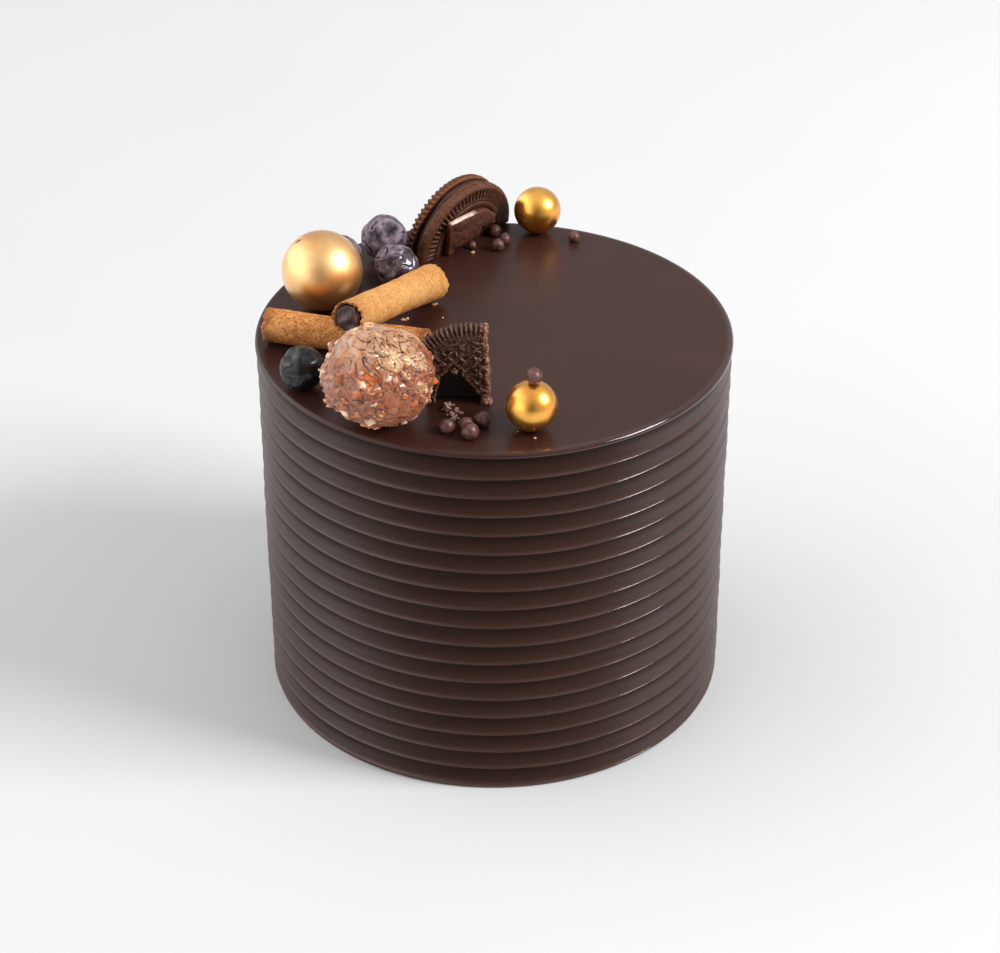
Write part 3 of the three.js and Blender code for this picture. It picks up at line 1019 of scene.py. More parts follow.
@dataclass
class CakeBody:
    """The cake in its combed chocolate coat. Millimetres, with stations and top_rings as shares."""

    radius: float = 75.2
    height: float = TOP
    columns: int = 232
    ridges: int = 17
    start: float = 1.45
    pitch: float = 6.76
    scoop: float = 1.3
    undercut: float = 0.06
    scoop_bend: float = 2.0
    edge_round: float = 0.15
    edge_reach: float = 0.12
    stations: tuple[float, ...] = (
        *(0.015, 0.03, 0.05, 0.09, 0.16, 0.26, 0.4),
        *(0.56, 0.7, 0.81, 0.88, 0.93, 0.96, 0.985),
    )
    sway: float = 0.15
    drift: float = 0.25
    base_inset: float = 0.5
    lip_flare: float = 0.3
    lip_round: float = 1.3
    lip_steps: int = 7
    top_rings: tuple[float, ...] = (0.985, 0.95, 0.88, 0.78, 0.65, 0.5, 0.34, 0.17, 0.0)
    top_shade: float = 0.58
    top_swell: float = 0.06
    wall_swell: float = 0.05
    crest_width: float = 0.6
    crest_push: float = 0.07
    crest_lift: float = 0.12
    glint_rise: float = 0.12
    glint_width: float = 0.14
    glint_fade: Flat = (-20.0, 25.0)
    lip_fade: Flat = (-10.0, 20.0)

    @property
    def wall_top(self) -> float:
        """Height where the wall ends and the lip starts."""
        return self.height - self.lip_round

    def depth(self, share: float) -> float:
        """How deep the scoop is.

        Args:
            share: Share of the way up from one crest to the next.

        Returns:
            The depth from the crests.
        """
        below = 1 - share
        rounded = self.edge_round * (1 - math.exp(-share * self.pitch / self.edge_reach))
        return self.scoop * (1 - math.exp(-below / self.undercut)) * (1 - below**self.scoop_bend) + rounded

    def profile(self) -> list[Flat]:
        """Draw the outline that is spun.

        Returns:
            Radius and height of each point of the base, the scoops, the lip and the top.
        """
        edge = self.radius - self.base_inset
        points = [(0.0, 0.0), (0.5 * edge, 0.0), (edge - 2.0, 0.0), (edge - 0.3, 0.0), (edge, 0.3)]
        for ridge in range(self.ridges + 1):
            low = self.start + ridge * self.pitch
            high = low + self.pitch if ridge < self.ridges else self.wall_top
            points.append((self.radius - 0.02, low))
            for share in self.stations:
                points.append((self.radius - self.depth(share), low + share * (high - low)))
        lip = self.radius + self.lip_flare - self.lip_round
        for step in range(self.lip_steps + 1):
            turn = math.pi / 2 * step / self.lip_steps
            rise = self.height - self.lip_round * (1 - math.sin(turn))
            points.append((lip + self.lip_round * math.cos(turn), rise))
        points.extend((lip * share, self.height) for share in self.top_rings)
        return points

    def comb(self, places: np.ndarray) -> np.ndarray:
        """Give the ridges the sway of a hand-held comb, and the top the least unevenness.

        Args:
            places: Places before.

        Returns:
            Places after.
        """
        radius = np.hypot(places[:, 0], places[:, 1])
        angle = np.arctan2(places[:, 1], places[:, 0])
        level = (places[:, 2] - self.start) / self.pitch
        swayed = self.height - 2 * self.lip_round
        wall = (radius > self.radius - 5) & (places[:, 2] > 1) & (places[:, 2] < swayed)
        push = self.sway * np.sin(3 * angle + 1.1 * level) * np.sin(2 * angle + 0.6 * level + 1)
        row = np.round(level)
        round_row = np.stack([self.radius * np.cos(angle), self.radius * np.sin(angle), row * 40.0], axis=1)
        crest = np.exp(-(((level - row) * self.pitch / self.crest_width) ** 2))
        push += self.crest_push * crest * unevenness(round_row, 9.0, 3, 3)
        push += self.wall_swell * unevenness(places, 16.0, 5, 2)
        lift = self.drift * np.sin(2 * angle + 0.45 * level)
        lift += self.crest_lift * crest * unevenness(round_row, 22.0, 7, 2)
        moved = widened(places, np.where(wall, 1 + push / np.maximum(radius, 1), 1))
        moved[:, 2] += np.where(wall, lift, 0)
        top = (places[:, 2] > self.height - 0.01) & (radius < self.radius - 3)
        moved[:, 2] += np.where(top, self.top_swell * (unevenness(places, 26.0, 9, 2) - 0.5), 0)
        return moved

    def paint(self, body: bpy.types.Object) -> None:
        """Mark the wall, the painted shade in its hollows and the polished edges, before the comb sways
        them.

        Args:
            body: The cake as spun.
        """
        places = Bench.places(body)
        radius = np.hypot(places[:, 0], places[:, 1])
        wall = (radius > self.radius - 3) & (places[:, 2] < self.wall_top)
        row = np.round((places[:, 2] - self.start) / self.pitch).clip(0, self.ridges)
        above = places[:, 2] - self.start - row * self.pitch
        crest = np.exp(-(((above - self.glint_rise) / self.glint_width) ** 2)) * wall
        crest *= ramp(places[:, 0], *self.glint_fade)
        lip = (radius > self.radius - 1.5) & (places[:, 2] > self.height - 1.05 * self.lip_round)
        band = np.floor((places[:, 2] - self.start + 0.01) / self.pitch).clip(0, self.ridges)
        high = np.where(band < self.ridges, self.start + (band + 1) * self.pitch, self.wall_top)
        low = self.start + band * self.pitch
        below = np.clip((high - places[:, 2]) / (high - low), 0, 1)
        # Painted shade: darkest just under each crest, easing lighter down the band and gone at the next
        # crest; the top gets one even value.
        shade = 1 - 0.35 * np.clip((below - 0.08) / 0.82, 0, 1) - 0.65 * ramp(below, 0.8, 1.0)
        shade = np.where(wall, shade, self.top_shade)
        crest = np.maximum(crest, lip * ramp(places[:, 0], *self.lip_fade))
        Bench.paint(body, wall=wall.astype(float), shade=shade, crest=crest)

    def build(self) -> None:
        """Spin, comb and dress the cake."""
        body = Bench.turned("cake_coat", self.profile(), self.columns)
        self.paint(body)
        Bench.sculpt(body, self.comb)
        hand_over(body, GanacheFinish(), ["cake_body"])


@dataclass
class ChocolatePearls:
    """Small chocolate balls that lie on the top. Millimetres."""

    sink: float = 0.4
    uneven: float = 0.045
    lump: float = 1.6
    columns: int = 28
    rows: int = 18
    spots: tuple[Point, ...] = (
        (-14.0, -62.5, 2.4),
        (-7.2, -65.9, 2.7),
        (-8.3, -61.0, 2.2),
        (-3.7, -58.7, 2.5),
        (26.8, 60.9, 1.9),
        (0.1, 65.0, 2.2),
        (1.2, 54.6, 2.2),
        (3.5, 59.3, 2.1),
        (-7.4, 55.8, 1.5),
    )

    def pearl(self, number: int, place: Point, radius: float) -> bpy.types.Object:
        """Add one pearl, a little out of round.

        Args:
            number: Its number, which also picks its unevenness.
            place: Its centre.
            radius: Its radius.

        Returns:
            The pearl.
        """
        made = Bench.ball(f"pearl_{number}", radius, place, self.columns, self.rows)
        centre = np.array(place)

        def dent(places: np.ndarray) -> np.ndarray:
            """Push the skin in and out a little."""
            factor = 1 + self.uneven * unevenness(places, self.lump, number, 2)
            return centre + (places - centre) * factor[:, None]

        Bench.sculpt(made, dent)
        return made

    def build(self) -> None:
        """Make the pearls on the top as one piece."""
        made = [
            self.pearl(i, (x, y, TOP + radius - self.sink), radius)
            for i, (x, y, radius) in enumerate(self.spots)
        ]
        hand_over(Bench.join(made, "chocolate_pearls"), PearlFinish(), ["cake_body"])


@dataclass
class CookieChips:
    """A trail of cookie chips in front of the broken wafer. Millimetres."""

    size: float = 1.6
    count: int = 6
    start: Flat = (-14.4, -48.2)
    finish: Flat = (-10.0, -57.6)
    sidestep: tuple[float, ...] = (0.7, -0.8, 0.9, -0.5, -0.9, 0.6)
    cragginess: float = 0.9
    lump: float = 0.7

    def build(self) -> None:
        """Make the chips as one piece, where the solid has them, each with a smaller one on either side."""
        run = draws(11)
        random = np.random.default_rng(13)
        vertices, faces = Bench.pebble(3)
        grains = []

        def crag(shift: float, seed: int) -> np.ndarray:
            """A craggy chip of radius 1."""
            lumps = unevenness(vertices + shift, self.lump, seed, 3)
            return vertices * (1 + self.cragginess * lumps)[:, None]

        for i in range(self.count):
            along = i / (self.count - 1)
            size = self.size * (0.75 + 0.45 * next(run))
            turn = Matrix.Rotation(math.pi * next(run), 3, "Z")
            turn = Matrix.Rotation(0.6 * next(run), 3, "X") @ turn
            x = self.start[0] + (self.finish[0] - self.start[0]) * along + 1.2 * (next(run) - 0.5)
            x += self.sidestep[i % len(self.sidestep)]
            y = self.start[1] + (self.finish[1] - self.start[1]) * along
            shaped = crag(9 * i, 20 + i) * np.array([1.0, 0.75, 0.9]) * size * 0.66
            grains.append(shaped @ np.array(turn).T + np.array([x, y, TOP + 0.45 * size]))
            for side in (-1, 1):
                small = size * random.uniform(0.25, 0.55)
                shaped = crag(7 * i + side, 40 + i) * np.array([1.0, 0.7, 0.8]) * small
                spin = np.linalg.qr(random.normal(size=(3, 3)))[0]
                dx, dy = side * random.uniform(0.6, 1.5), random.uniform(-0.8, 0.8)
                grains.append(shaped @ spin.T + np.array([x + dx, y + dy, TOP + 0.6 * small]))
        chips = Bench.scatter("cookie_chips", grains, faces)
        # Painted highlight: the broken mark rises on the faces that look up, so the chips' tops take the
        # light crumb colour.
        broken = 0.25 + 0.75 * ramp(Bench.normals(chips)[:, 2], 0.3, 0.9)
        Bench.paint(chips, bulge=Bench.bulge(chips, 0), broken=broken)
        pit, crust, crumb = tint(30, 15, 12), tint(96, 60, 52), tint(190, 152, 140)
        finish = CookieFinish("cocoa_chip", pit, crust, crumb)
        hand_over(chips, finish, ["cake_body"])


@dataclass
class Crumbs:
    """Loose crumbs on the top. Millimetres."""

    cragginess: float = 0.5
    lump: float = 0.6
    spots: tuple[Point, ...] = (
        (-28.8, 5.5, 0.75),
        (-27.6, 6.4, 0.5),
        (-19.4, 15.5, 0.6),
        (-18.7, 16.4, 0.45),
        (-7.1, 52.3, 0.6),
        (11.9, -66.4, 0.45),
        (6.9, -62.6, 0.3),
        (-16.5, 7.2, 0.35),
    )

    def build(self) -> None:
        """Make the crumbs as one piece."""
        vertices, faces = Bench.pebble(2)
        grains = []
        for i, (x, y, size) in enumerate(self.spots):
            crag = 1 + self.cragginess * unevenness(vertices + 5 * i, self.lump, 50 + i, 2)
            shaped = vertices * crag[:, None] * np.array([1.25, 0.85, 0.7]) * size
            turn = np.array(Matrix.Rotation(1.7 * i, 3, "Z"))
            grains.append(shaped @ turn.T + np.array([x, y, TOP + 0.5 * size]))
        crumbs = Bench.scatter("wafer_crumbs", grains, faces)
        hand_over(crumbs, NutFinish("wafer_crumb"), ["cake_body"])


@dataclass
class GoldBall:
    """A chocolate ball dusted with gold lustre. Millimetres, with the foot as a share of the radius."""

    node: str
    x: float
    y: float
    radius: float
    finish: GoldFinish
    nick_facing: Optional[Point] = None
    nick_width: float = 1.3
    nick_depth: float = 0.55
    columns: int = 112
    rows: int = 72
    foot: float = 0.02
    uneven: float = 0.05

    def build(self) -> None:
        """Make the ball with its small foot, its slight unevenness and its nick."""
        centre = np.array([self.x, self.y, TOP + REST_GAP + self.radius])
        ball = Bench.ball(f"{self.node}_shell", self.radius, centre.tolist(), self.columns, self.rows)

        def nick_share(places: np.ndarray) -> np.ndarray:
            """How far each place lies in the nick."""
            if self.nick_facing is None:
                return np.zeros(len(places))
            turned = unit_rows(places - centre) @ unit(self.nick_facing)
            apart = self.radius * np.arccos(np.clip(turned, -1, 1))
            ragged = apart + 0.5 * unevenness(places, 0.9, 4, 2)
            return 1 - ramp(ragged, 0.35 * self.nick_width, self.nick_width)

        def shape(places: np.ndarray) -> np.ndarray:
            """Press the foot flat, sink the nick and leave the hand-rolled unevenness."""
            out = (places - centre) / self.radius
            lump = self.uneven * unevenness(places, 0.9 * self.radius, 6, 2)
            moved = places + out * (lump - self.nick_depth * nick_share(places))[:, None]
            low = centre[2] - self.radius * (1 - self.foot)
            moved[:, 2] = np.where(moved[:, 2] < low, 0.6 * low + 0.4 * moved[:, 2], moved[:, 2])
            return rested(moved)

        shares = nick_share(Bench.places(ball))
        Bench.sculpt(ball, shape)
        Bench.paint(ball, nick=shares)
        hand_over(ball, self.finish, [self.node])


@dataclass
class CrownPearl:
    """The pearl that sits on the front gold ball. Millimetres."""

    place: Point = (11.6, -60.4, 142.82)
    radius: float = 2.5
    number: int = 30

    def build(self) -> None:
        """Make the pearl."""
        made = ChocolatePearls().pearl(self.number, self.place, self.radius)
        made.name = "gold_ball_front_pearl"
        hand_over(made, PearlFinish("crown_pearl"), ["gold_ball_front"])


def facets(out: np.ndarray, planes: int, depth: Flat, seed: int, crisp: float) -> np.ndarray:
    """How far out a skin lies where it has shrunk into soft facets.

    Args:
        out: The way that each vertex faces.
        planes: Number of facets.
        depth: Nearest and farthest facet from the middle, as shares of the radius.
        seed: Which facets.
        crisp: How sharp the ridges between them are.

    Returns:
        Share of the radius at each vertex.
    """
    random = np.random.default_rng(seed)
    facing = unit_rows(random.normal(size=(planes, 3)))
    cuts = random.uniform(*depth, planes) / np.maximum(out @ facing.T, 0.3)
    return -np.log(np.exp(-crisp * cuts).sum(axis=1) + math.exp(-crisp)) / crisp


@dataclass
class Berry:
    """A blueberry with its crown. Millimetres, and shares of the radius for its relief."""

    node: str
    x: float
    y: float
    radius: float
    crown: Point
    seed: int
    finish: BerryFinish
    wrinkle: float = 0.3
    shrink: float = 0.6
    wet_facing: Optional[Point] = None
    planes: int = 22
    facet_depth: Flat = (0.9, 0.98)
    crisp: float = 44.0
    dimple: float = 0.14
    rim: float = 0.035
    squash: float = 0.95
    columns: int = 120
    rows: int = 84

    def build(self) -> None:
        """Make the berry, wrinkled, with a ragged crown."""
        phase = math.tau * next(draws(self.seed))
        made = Bench.ball(f"{self.node}_skin", 1.0, (0, 0, 0), self.columns, self.rows)
        local = Bench.places(made)
        upright = np.stack([local[:, 0], local[:, 2], -local[:, 1]], axis=1)
        polar = np.arccos(np.clip(upright[:, 1], -1, 1))
        around = np.arctan2(upright[:, 2], upright[:, 0])
        hollow = self.dimple * np.exp(-((polar / 0.33) ** 2))
        ragged = 1 + 0.6 * np.cos(5 * around) + 0.35 * unevenness(upright, 0.12, self.seed, 2)
        lobes = self.rim * ragged * np.exp(-(((polar - 0.52) / 0.15) ** 2))
        uneven = 0.018 * np.sin(3 * around + phase) * np.sin(2 * polar)
        folds = np.abs(unevenness(upright, 0.6, self.seed + 3, 2))
        deep = ramp(unevenness(upright, 0.7, self.seed + 7, 1), -0.05, 0.3)
        creases = -deep * np.exp(-((folds / 0.1) ** 2)) + 0.6 * unevenness(upright, 0.4, self.seed + 5, 2)
        skin = self.wrinkle / self.radius * creases * ramp(polar, 0.35, 0.8)
        skin += self.shrink * (facets(upright, self.planes, self.facet_depth, self.seed, self.crisp) - 1)
        reach = self.radius * (1 - hollow + lobes + uneven + skin)
        shaped = upright * reach[:, None]
        shaped[:, 1] *= self.squash
        facing = Vector(self.crown).normalized()
        turn = np.array(Vector((0, 1, 0)).rotation_difference(facing).to_matrix())
        stood = rested(shaped @ turn.T + np.array([self.x, self.y, 0.0]))
        Bench.sculpt(made, lambda places: stood)
        wet = np.zeros(len(local))
        if self.wet_facing is not None:
            turned = unit_rows(stood - stood.mean(axis=0)) @ unit(self.wet_facing)
            wet = ramp(turned + 0.25 * unevenness(stood, 2.2, 8, 2), 0.55, 0.8)
        Bench.paint(made, bulge=Bench.bulge(made, 2), wet=wet)
        hand_over(made, self.finish, [self.node])


@dataclass
class Praline:
    """A praline rolled in chopped nuts under milk chocolate. Millimetres, and radians for spreads."""

    x: float = -34.2
    y: float = -56.8
    wide: float = 16.0
    tall: float = 14.4
    detail: int = 7
    nuts: int = 64
    nut_height: Flat = (0.35, 1.1)
    nut_spread: Flat = (0.11, 0.24)
    flake: float = 0.3
    bits: int = 180
    bit_height: Flat = (0.15, 0.8)
    bit_spread: Flat = (0.04, 0.16)
    crack_depth: float = 0.55
    planes: int = 84
    facet_depth: Flat = (0.945, 1.0)
    crisp: float = 110.0
    crumple: float = 12.0
    chips: int = 36
    chip_size: Flat = (0.5, 1.35)
    calm_facing: Point = (-0.47, -0.27, 0.73)
    flaky_facing: Point = (0.53, -0.27, 0.73)
    cream_facing: Point = (0.49, -0.46, 0.74)
    amber_facing: Point = (-0.19, -0.89, 0.41)

    def nut_list(self) -> list[tuple[np.ndarray, float, float]]:
        """Draw the nuts that the solid has.

        Returns:
            The way each faces, its height and its spread.
        """
        run = draws(29)
        found = []
        for _ in range(self.nuts):
            rise = 2 * next(run) - 1
            turn = math.tau * next(run)
            flat = math.sqrt(1 - rise * rise)
            ranges = (self.nut_height, self.nut_spread)
            height, spread = (low + (high - low) * next(run) for low, high in ranges)
            facing = np.array([flat * math.cos(turn), flat * math.sin(turn), rise])
            found.append((facing, height, spread))
        return found

    def build(self) -> None:
        """Make the ball: calm on its upper left, cracked into flakes on its upper right, nutty below."""
        Bench.clear()
        bpy.ops.mesh.primitive_ico_sphere_add(subdivisions=self.detail, radius=MM)
        ball = Bench.settle("praline_shell")
        out = unit_rows(Bench.places(ball))
        calm = ramp(out @ unit(self.calm_facing), 0.76, 0.98)
        flaky = ramp(out @ unit(self.flaky_facing), 0.45, 0.85)
        nutty = 1 - np.maximum(0.6 * calm, 0.6 * flaky)
        x, y, z = out.T
        raise_by = self.flake * np.sin(9 * x + 6 * z) * np.sin(8 * y - 5 * x)
        for facing, height, spread in self.nut_list():
            apart = np.arccos(np.clip(out @ facing, -1, 1)) / spread
            raise_by = np.maximum(raise_by, height * np.exp(-(apart**4)))
        bare, roast = self.press_bits(out, nutty, raise_by)
        crack = self.cracks(out, flaky)
        raise_by += self.flakes(out, flaky) - self.crack_depth * crack
        wrinkles = np.clip(1 - 5 * np.abs(unevenness(out, 0.36, 41, 2)), 0, 1)
        raise_by += 0.45 * wrinkles * ramp(unevenness(out, 0.5, 42, 1), -0.1, 0.25)
        raise_by += 0.3 * unevenness(out, 0.4, 19, 2) + 0.6 * nutty * unevenness(out, 0.26, 17, 4)
        raise_by += 0.26 * unevenness(out, 0.09, 18, 3)
        raise_by += self.crumple * (facets(out, self.planes, self.facet_depth, 23, self.crisp) - 1)
        streaks = flaky * ramp(unevenness(self.slant(out), 0.5, 21, 3), 0.0, 0.3)
        patch = out @ unit(self.cream_facing) + 0.05 * unevenness(out, 0.3, 22, 2)
        # Painted highlight: the cream colour also covers the upper part of the ball, by how far it faces
        # up.
        cream = np.maximum(0.7 * streaks, 0.5 * ramp(z, 0.5, 0.85))
        cream = np.maximum(cream, ramp(patch, 0.93, 0.975))
        amber = out @ unit(self.amber_facing) + 0.01 * unevenness(out, 0.1, 24, 2)
        roast = np.maximum(roast, ramp(amber, 0.978, 0.99))
        reach = np.array([self.wide, self.wide, self.tall]) + raise_by[:, None]
        stood = rested(out * reach + np.array([self.x, self.y, 0.0]))
        Bench.sculpt(ball, lambda places: stood)
        calm = np.maximum(calm, 0.4 * flaky)
        bulge = Bench.bulge(ball, 2)
        Bench.paint(ball, bulge=bulge, calm=calm, bare=bare, roast=roast, crack=crack, cream=cream)
        hand_over(ball, PralineFinish(), ["hazelnut_praline"])
        self.build_chips(stood, Bench.normals(ball), np.maximum(flaky, calm))

    def press_bits(
        self, out: np.ndarray, nutty: np.ndarray, raise_by: np.ndarray
    ) -> tuple[np.ndarray, np.ndarray]:
        """Press blocky bits of nut into the skin.

        Args:
            out: The way that each vertex faces.
            nutty: Share of the nutty side at each vertex.
            raise_by: Height of the skin at each vertex, to which the bits are added.

        Returns:
            Shares of bare nut and of roasted nut at each vertex.
        """
        bare, roast = np.zeros(len(out)), np.zeros(len(out))
        random = np.random.default_rng(7)
        for _ in range(self.bits):
            facing = random.normal(size=3)
            facing /= np.linalg.norm(facing)
            one = np.cross(facing, random.normal(size=3))
            one /= np.linalg.norm(one)
            two = np.cross(facing, one)
            spread = random.uniform(*self.bit_spread)
            height = random.uniform(*self.bit_height)
            tone = random.random()
            near = out @ facing > math.cos(3 * spread)
            u = np.abs(out[near] @ one) / spread
            v = np.abs(out[near] @ two) / (spread * random.uniform(0.55, 1.0))
            block = 1 - ramp(np.maximum(u, v) + 0.3 * (u + v), 0.75, 1.35)
            raise_by[near] += height * block * nutty[near]
            shown = block * ramp(nutty[near], 0.4, 0.9)
            mark = bare if tone > 0.72 else roast
            mark[near] = np.maximum(mark[near], shown * (tone > 0.35))
        return bare, roast

    @staticmethod
    def slant(out: np.ndarray) -> np.ndarray:
        """Places drawn out along the way that the flakes run."""
        turned = out @ np.array([[0.72, -0.25, -0.65], [0.2, 0.97, -0.15], [0.66, -0.02, 0.75]]).T
        return turned * np.array([1.0, 1.8, 3.0])

    def flakes(self, out: np.ndarray, flaky: np.ndarray) -> np.ndarray:
        """Height of the thin flakes.

        Args:
            out: The way that each vertex faces.
            flaky: Share of the flaky side at each vertex.

        Returns:
            The height at each vertex.
        """
        layers = 1.6 * unevenness(self.slant(out), 0.6, 12, 3)
        whole = np.floor(layers)
        ridges = np.clip(1 - 4 * np.abs(unevenness(self.slant(out), 0.4, 31, 2)), 0, 1)
        return flaky * (0.4 * (whole + ramp(layers - whole, 0.8, 1.0)) + 0.4 * ridges)

    def cracks(self, out: np.ndarray, flaky: np.ndarray) -> np.ndarray:
        """Share of the long thin cracks on the flaky side.

        Args:
            out: The way that each vertex faces.
            flaky: Share of the flaky side at each vertex.

        Returns:
            The share at each vertex.
        """
        slant = self.slant(out)
        lines = np.zeros(len(out))
        for seed, size in ((14, 0.75), (15, 0.5)):
            line = np.exp(-((unevenness(slant, size, seed, 2) / 0.025) ** 2))
            lines = np.maximum(lines, line * ramp(unevenness(out, 0.4, seed + 10, 1), -0.2, 0.2))
        return lines * ramp(flaky, 0.0, 0.5)

    def build_chips(self, places: np.ndarray, normals: np.ndarray, flaky: np.ndarray) -> None:
        """Press chips of nut into the shell.

        Args:
            places: The shell's vertices.
            normals: The shell's normals.
            flaky: Share of the flaky side at each vertex, which has few chips.
        """
        random = np.random.default_rng(19)
        vertices, faces = Bench.pebble(2)
        grains = []
        while len(grains) < self.chips:
            pick = random.integers(len(places))
            if random.random() < flaky[pick] * 0.9 or places[pick, 2] < TOP + 1.2:
                continue
            size = random.uniform(*self.chip_size)
            shape = vertices * (1 + 0.35 * random.normal(size=(len(vertices), 1)).clip(-1, 1))
            shape = shape * np.array([1.0, random.uniform(0.55, 0.9), random.uniform(0.45, 0.75)]) * size
            turn = np.linalg.qr(random.normal(size=(3, 3)))[0]
            grains.append(shape @ turn.T + places[pick] + 0.15 * size * normals[pick])
        chips = Bench.scatter("praline_nut_chips", grains, faces)
        hand_over(chips, NutFinish(), ["hazelnut_praline"])


@dataclass
class WaferRoll:
    """A wafer rolled round a chocolate filling. Millimetres, and radians for the roll."""

    node: str
    start: Point
    finish: Point
    near: float
    far: float
    roll: float
    coat: WaferFinish
    seed: int
    end_toast: Flat = (1.0, 1.0)
    wall: float = 1.3
    lip: float = 0.4
    recess: float = 1.0
    scallop: float = 0.0
    rim: float = 1.2
    under_shade: float = 0.54
    columns: int = 150
    pitch: float = 0.36
    inner_steps: int = 24
    core_columns: int = 48
    core_steps: int = 12

    @property
    def length(self) -> float:
        """From end to end."""
        return math.dist(self.start, self.finish)

    @property
    def bore(self) -> float:
        """Radius of the inside."""
        return self.near - self.lip - self.wall + 0.3

    def lay(self, rod: np.ndarray) -> np.ndarray:
        """Turn a rod from the upright to its line.

        Args:
            rod: Places on a rod that stands on its near end.

        Returns:
            Places on the laid rod.
        """
        along = (Vector(self.finish) - Vector(self.start)).normalized()
        turn = Vector((0, 0, 1)).rotation_difference(along).to_matrix() @ Matrix.Rotation(self.roll, 3, "Z")
        return rod @ np.array(turn).T + np.array(self.start)

    def widen(self, share: np.ndarray) -> np.ndarray:
        """How much wider the roll is at each share of its length."""
        factor = 1 + (self.far / self.near - 1) * share
        return factor * (1 + 0.02 * np.sin(9 * share) + 0.03 * (2 * share - 1) ** 6)

    def build(self) -> None:
        """Make the wafer and its filling."""
        steps = int(self.length / self.pitch)
        outer = [(self.near, self.length * i / steps) for i in range(steps + 1)]
        inner = [(self.bore, self.length * (1 - i / self.inner_steps)) for i in range(self.inner_steps + 1)]
        mid = 0.5 * (self.near - 0.2 + self.bore)
        profile = [*outer, (mid, self.length), *inner, (mid, 0.0), outer[0]]
        tube = Bench.turned(f"{self.node}_shell", profile, self.columns)
        straight = Bench.places(tube)
        Bench.sculpt(tube, self.shape_wafer)
        self.paint_wafer(tube, straight)
        hand_over(tube, self.coat, [self.node])
        self.build_filling()

    def shape_wafer(self, places: np.ndarray) -> np.ndarray:
        """Wind the sheet to its lip, break its ends and lay it.

        Args:
            places: Places on the straight tube.

        Returns:
            Places on the finished roll.
        """
        radius = np.hypot(places[:, 0], places[:, 1])
        angle = np.arctan2(places[:, 1], places[:, 0]) % math.tau
        share = places[:, 2] / self.length
        outside = ramp(radius, self.bore + 0.1, self.near - 0.25)
        wound = -self.lip * (1 - angle / math.tau) * outside
        coarse = unevenness(places, 3.4, self.seed + 1, 3)
        fine = unevenness(places, 0.8, self.seed + 2, 2)
        lumps = outside * (0.16 * coarse + 0.1 * fine)
        ends = ramp(np.abs(2 * share - 1), 1 - 5.0 / self.length, 1.0)
        ragged = unevenness(places * np.array([1.0, 1.0, 0.0]), 2.2, self.seed + 4, 3)
        thinned = (1 - outside) * ends * (0.6 + 0.4 * ragged)
        reach = (radius + wound + lumps + thinned) * self.widen(share)
        moved = np.stack([reach * np.cos(angle), reach * np.sin(angle), places[:, 2]], axis=1)
        cut = 0.5 + 1.4 * ragged + self.scallop * np.cos(17 * angle)
        moved[:, 2] -= np.sign(2 * share - 1) * ends * cut
        return self.lay(moved)

    def paint_wafer(self, tube: bpy.types.Object, straight: np.ndarray) -> None:
        """Mark the toasted ends, the painted shade on the underside, and the ridges.

        Args:
            tube: The wafer.
            straight: Its places before it was wound and laid.
        """
        share = straight[:, 2] / self.length
        near_end = ramp(1 - share, 0.86, 1.0) * self.end_toast[0]
        far_end = ramp(share, 0.86, 1.0) * self.end_toast[1]
        # Painted shade: the toast mark also darkens the wafer where it faces down.
        under = ramp(-Bench.normals(tube)[:, 2], -0.1, 0.75)
        inside = 1 - self.rim / self.length
        rim = ramp(1 - share, inside, 1.0) + ramp(share, inside, 1.0)
        toast_and_shade = np.clip(np.maximum(near_end, far_end) + self.under_shade * under + rim, 0, 1)
        Bench.paint(tube, toast_and_shade=toast_and_shade, bulge=Bench.bulge(tube, 1))

    def build_filling(self) -> None:
        """Make the filling that shows at both ends."""
        core = self.bore - 0.3
        long = self.length - 2 * self.recess
        rim = [(core * share, 0.0) for share in (0.0, 0.2, 0.4, 0.6, 0.8, 0.93)]
        wall = [(core, 0.35 + (long - 0.7) * i / self.core_steps) for i in range(self.core_steps + 1)]
        profile = [*rim, *wall, *[(radius, long) for radius, _ in reversed(rim)]]
        made = Bench.turned(f"{self.node}_core", profile, self.core_columns)

        def shape(places: np.ndarray) -> np.ndarray:
            """Leave the ends as the bag cut them, and lay the filling in the wafer."""
            share = places[:, 2] / long
            moved = widened(places, self.widen(share))
            tip = ramp(np.abs(2 * share - 1), 1 - 2.0 / long, 1.0)
            moved[:, :2] *= 1 + 0.08 * tip[:, None]
            moved[:, 2] += tip * 0.8 * unevenness(places, 1.8, self.seed + 6, 2) + self.recess
            return self.lay(moved)

        Bench.sculpt(made, shape)
        name = f"{self.node}_filling"
        hand_over(made, FillingFinish(f"chocolate_{name}"), [name])


